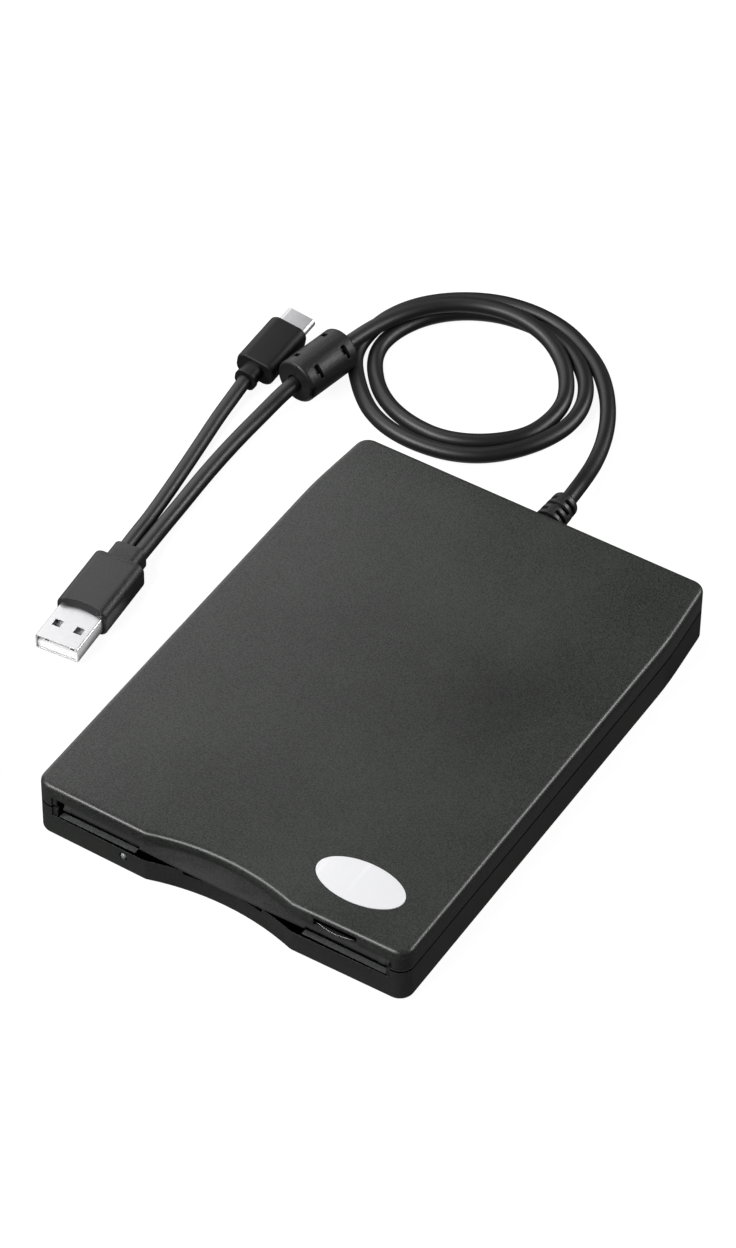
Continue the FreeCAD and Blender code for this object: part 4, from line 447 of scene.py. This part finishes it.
def coil_spring(name, start, radius, pitch, turns, wire, material):
    """A round wire wound along Y from start, in millimetres, with a flat cap at each end."""
    around, steps = 12, 28
    bm = bmesh.new()
    rings = []
    for i in range(turns * steps + 1):
        a = 2 * math.pi * i / steps
        out = Vector((math.cos(a), 0.0, -math.sin(a)))
        mid = Vector(start) + out * radius + Vector((0.0, pitch * i / steps, 0.0))
        rings.append([bm.verts.new((mid + (out * math.cos(b) + Vector((0.0, math.sin(b), 0.0))) * wire) * MM)
                      for b in (2 * math.pi * k / around for k in range(around))])
    for one, two in zip(rings, rings[1:]):
        for k in range(around):
            n = (k + 1) % around
            bm.faces.new((one[k], one[n], two[n], two[k]))
    bm.faces.new(rings[0][::-1])
    bm.faces.new(rings[-1])
    bmesh.ops.recalc_face_normals(bm, faces=bm.faces)
    obj = mesh_object(name, bm)
    obj.data.materials.append(material)
    return obj


# it draws the slider's tab 3.5 mm towards the chassis tab that its near end is on
spring = coil_spring("eject_spring_wire", (-29.5, 30.45, 11.0), 1.5, 1.035, 20, 0.247, STEEL)
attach(spring, "case")
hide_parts("eject_spring")
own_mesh(spring)


# ---------------------------------------------------------------- cords

def curve_of(name, points, diameter, material):
    """A cord: one open smooth spline with these points, in millimetres, as its control points."""
    data = bpy.data.curves.new(name, "CURVE")
    data.dimensions = "3D"
    spline = data.splines.new("NURBS")
    spline.points.add(len(points) - 1)
    for p, (x, y, z) in zip(spline.points, points):
        p.co = (x * MM, y * MM, z * MM, 1.0)
    spline.order_u = 3
    spline.use_endpoint_u = True
    spline.resolution_u = 10
    data.bevel_depth = diameter / 2 * MM
    data.bevel_resolution = 8
    data.use_fill_caps = True
    data.materials.append(material)
    return link(bpy.data.objects.new(name, data))


MAIN = [
    (0.45, 87.4, 6.7), (-0.1, 93.2, 6.1), (-1.5, 100.2, 4.0), (-3.0, 107.8, 2.5), (-5.3, 116.2, 2.13),
    (-8.9, 124.4, 2.12), (-13.9, 132.1, 2.12), (-20.0, 138.6, 2.12), (-26.4, 142.9, 2.12),
    # outer turn
    (-33.9, 146.6, 2.12), (-41.4, 148.2, 2.12), (-48.4, 148.2, 2.12), (-55.8, 146.7, 2.12), (-63.3, 143.0, 2.12),
    (-69.6, 137.9, 2.12), (-73.9, 132.3, 2.12), (-76.6, 126.0, 2.12), (-77.5, 119.0, 2.12), (-76.9, 112.3, 2.12),
    (-74.9, 107.2, 2.12), (-71.0, 102.2, 2.12), (-65.8, 96.8, 2.12), (-60.5, 92.8, 2.12), (-53.6, 90.1, 2.12),
    (-45.0, 89.3, 2.12), (-35.4, 90.8, 2.12), (-27.0, 95.4, 2.12), (-20.5, 103.2, 2.12), (-16.6, 111.6, 2.12),
    (-15.5, 119.4, 2.12), (-17.2, 127.2, 2.12), (-21.6, 134.4, 2.12), (-29.2, 140.6, 2.12), (-38.2, 143.6, 2.12),
    # inner turn
    (-47.2, 143.6, 2.12), (-54.6, 142.0, 2.12), (-62.0, 138.0, 2.12), (-67.9, 132.0, 2.12), (-71.5, 124.4, 2.12),
    (-72.5, 117.6, 2.12), (-71.4, 112.0, 2.12), (-68.5, 106.8, 2.12), (-63.2, 100.8, 2.12), (-56.2, 96.6, 2.12),
    (-48.5, 94.6, 2.12), (-40.4, 94.6, 2.12), (-31.8, 98.2, 2.12), (-24.6, 104.6, 2.12), (-21.4, 110.6, 2.12),
    (-20.5, 119.6, 2.12),
    # over the inner turn, through the ferrite, down to the plug
    (-22.6, 127.0, 2.12), (-28.2, 134.9, 2.9), (-36.6, 139.9, 4.8), (-46.6, 141.3, 6.0), (-56.3, 139.6, 6.1),
    (-64.6, 134.6, 6.2), (-70.8, 127.2, 6.2), (-75.0, 118.2, 6.2), (-77.64, 107.03, 6.2), (-81.21, 86.72, 6.2),
    (-83.3, 76.8, 3.1), (-84.1, 67.6, 2.13), (-84.0, 58.2, 2.12), (-83.6, 48.6, 2.12), (-82.9, 39.0, 2.12),
    (-82.3, 29.6, 2.2), (-81.2, 22.2, 3.3), (-80.4, 15.35, 3.95),
]
BRANCH = [
    (-84.5, 15.0, 3.95), (-85.5, 21.6, 3.4), (-86.7, 29.3, 2.1), (-88.1, 39.8, 1.92), (-89.7, 50.6, 1.92),
    (-91.3, 61.0, 1.92), (-92.8, 70.2, 1.95), (-93.4, 77.6, 2.5), (-93.5, 84.05, 3.9),
]
main_cord = curve_of("main_cord", MAIN, 4.2, CORD)
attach(main_cord, "case")
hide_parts("cord_exit_run", "cord_coil", "cord_main_run")
branch_cord = curve_of("branch_cord", BRANCH, 3.8, CORD)
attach(branch_cord, "case")
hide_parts("cord_branch")
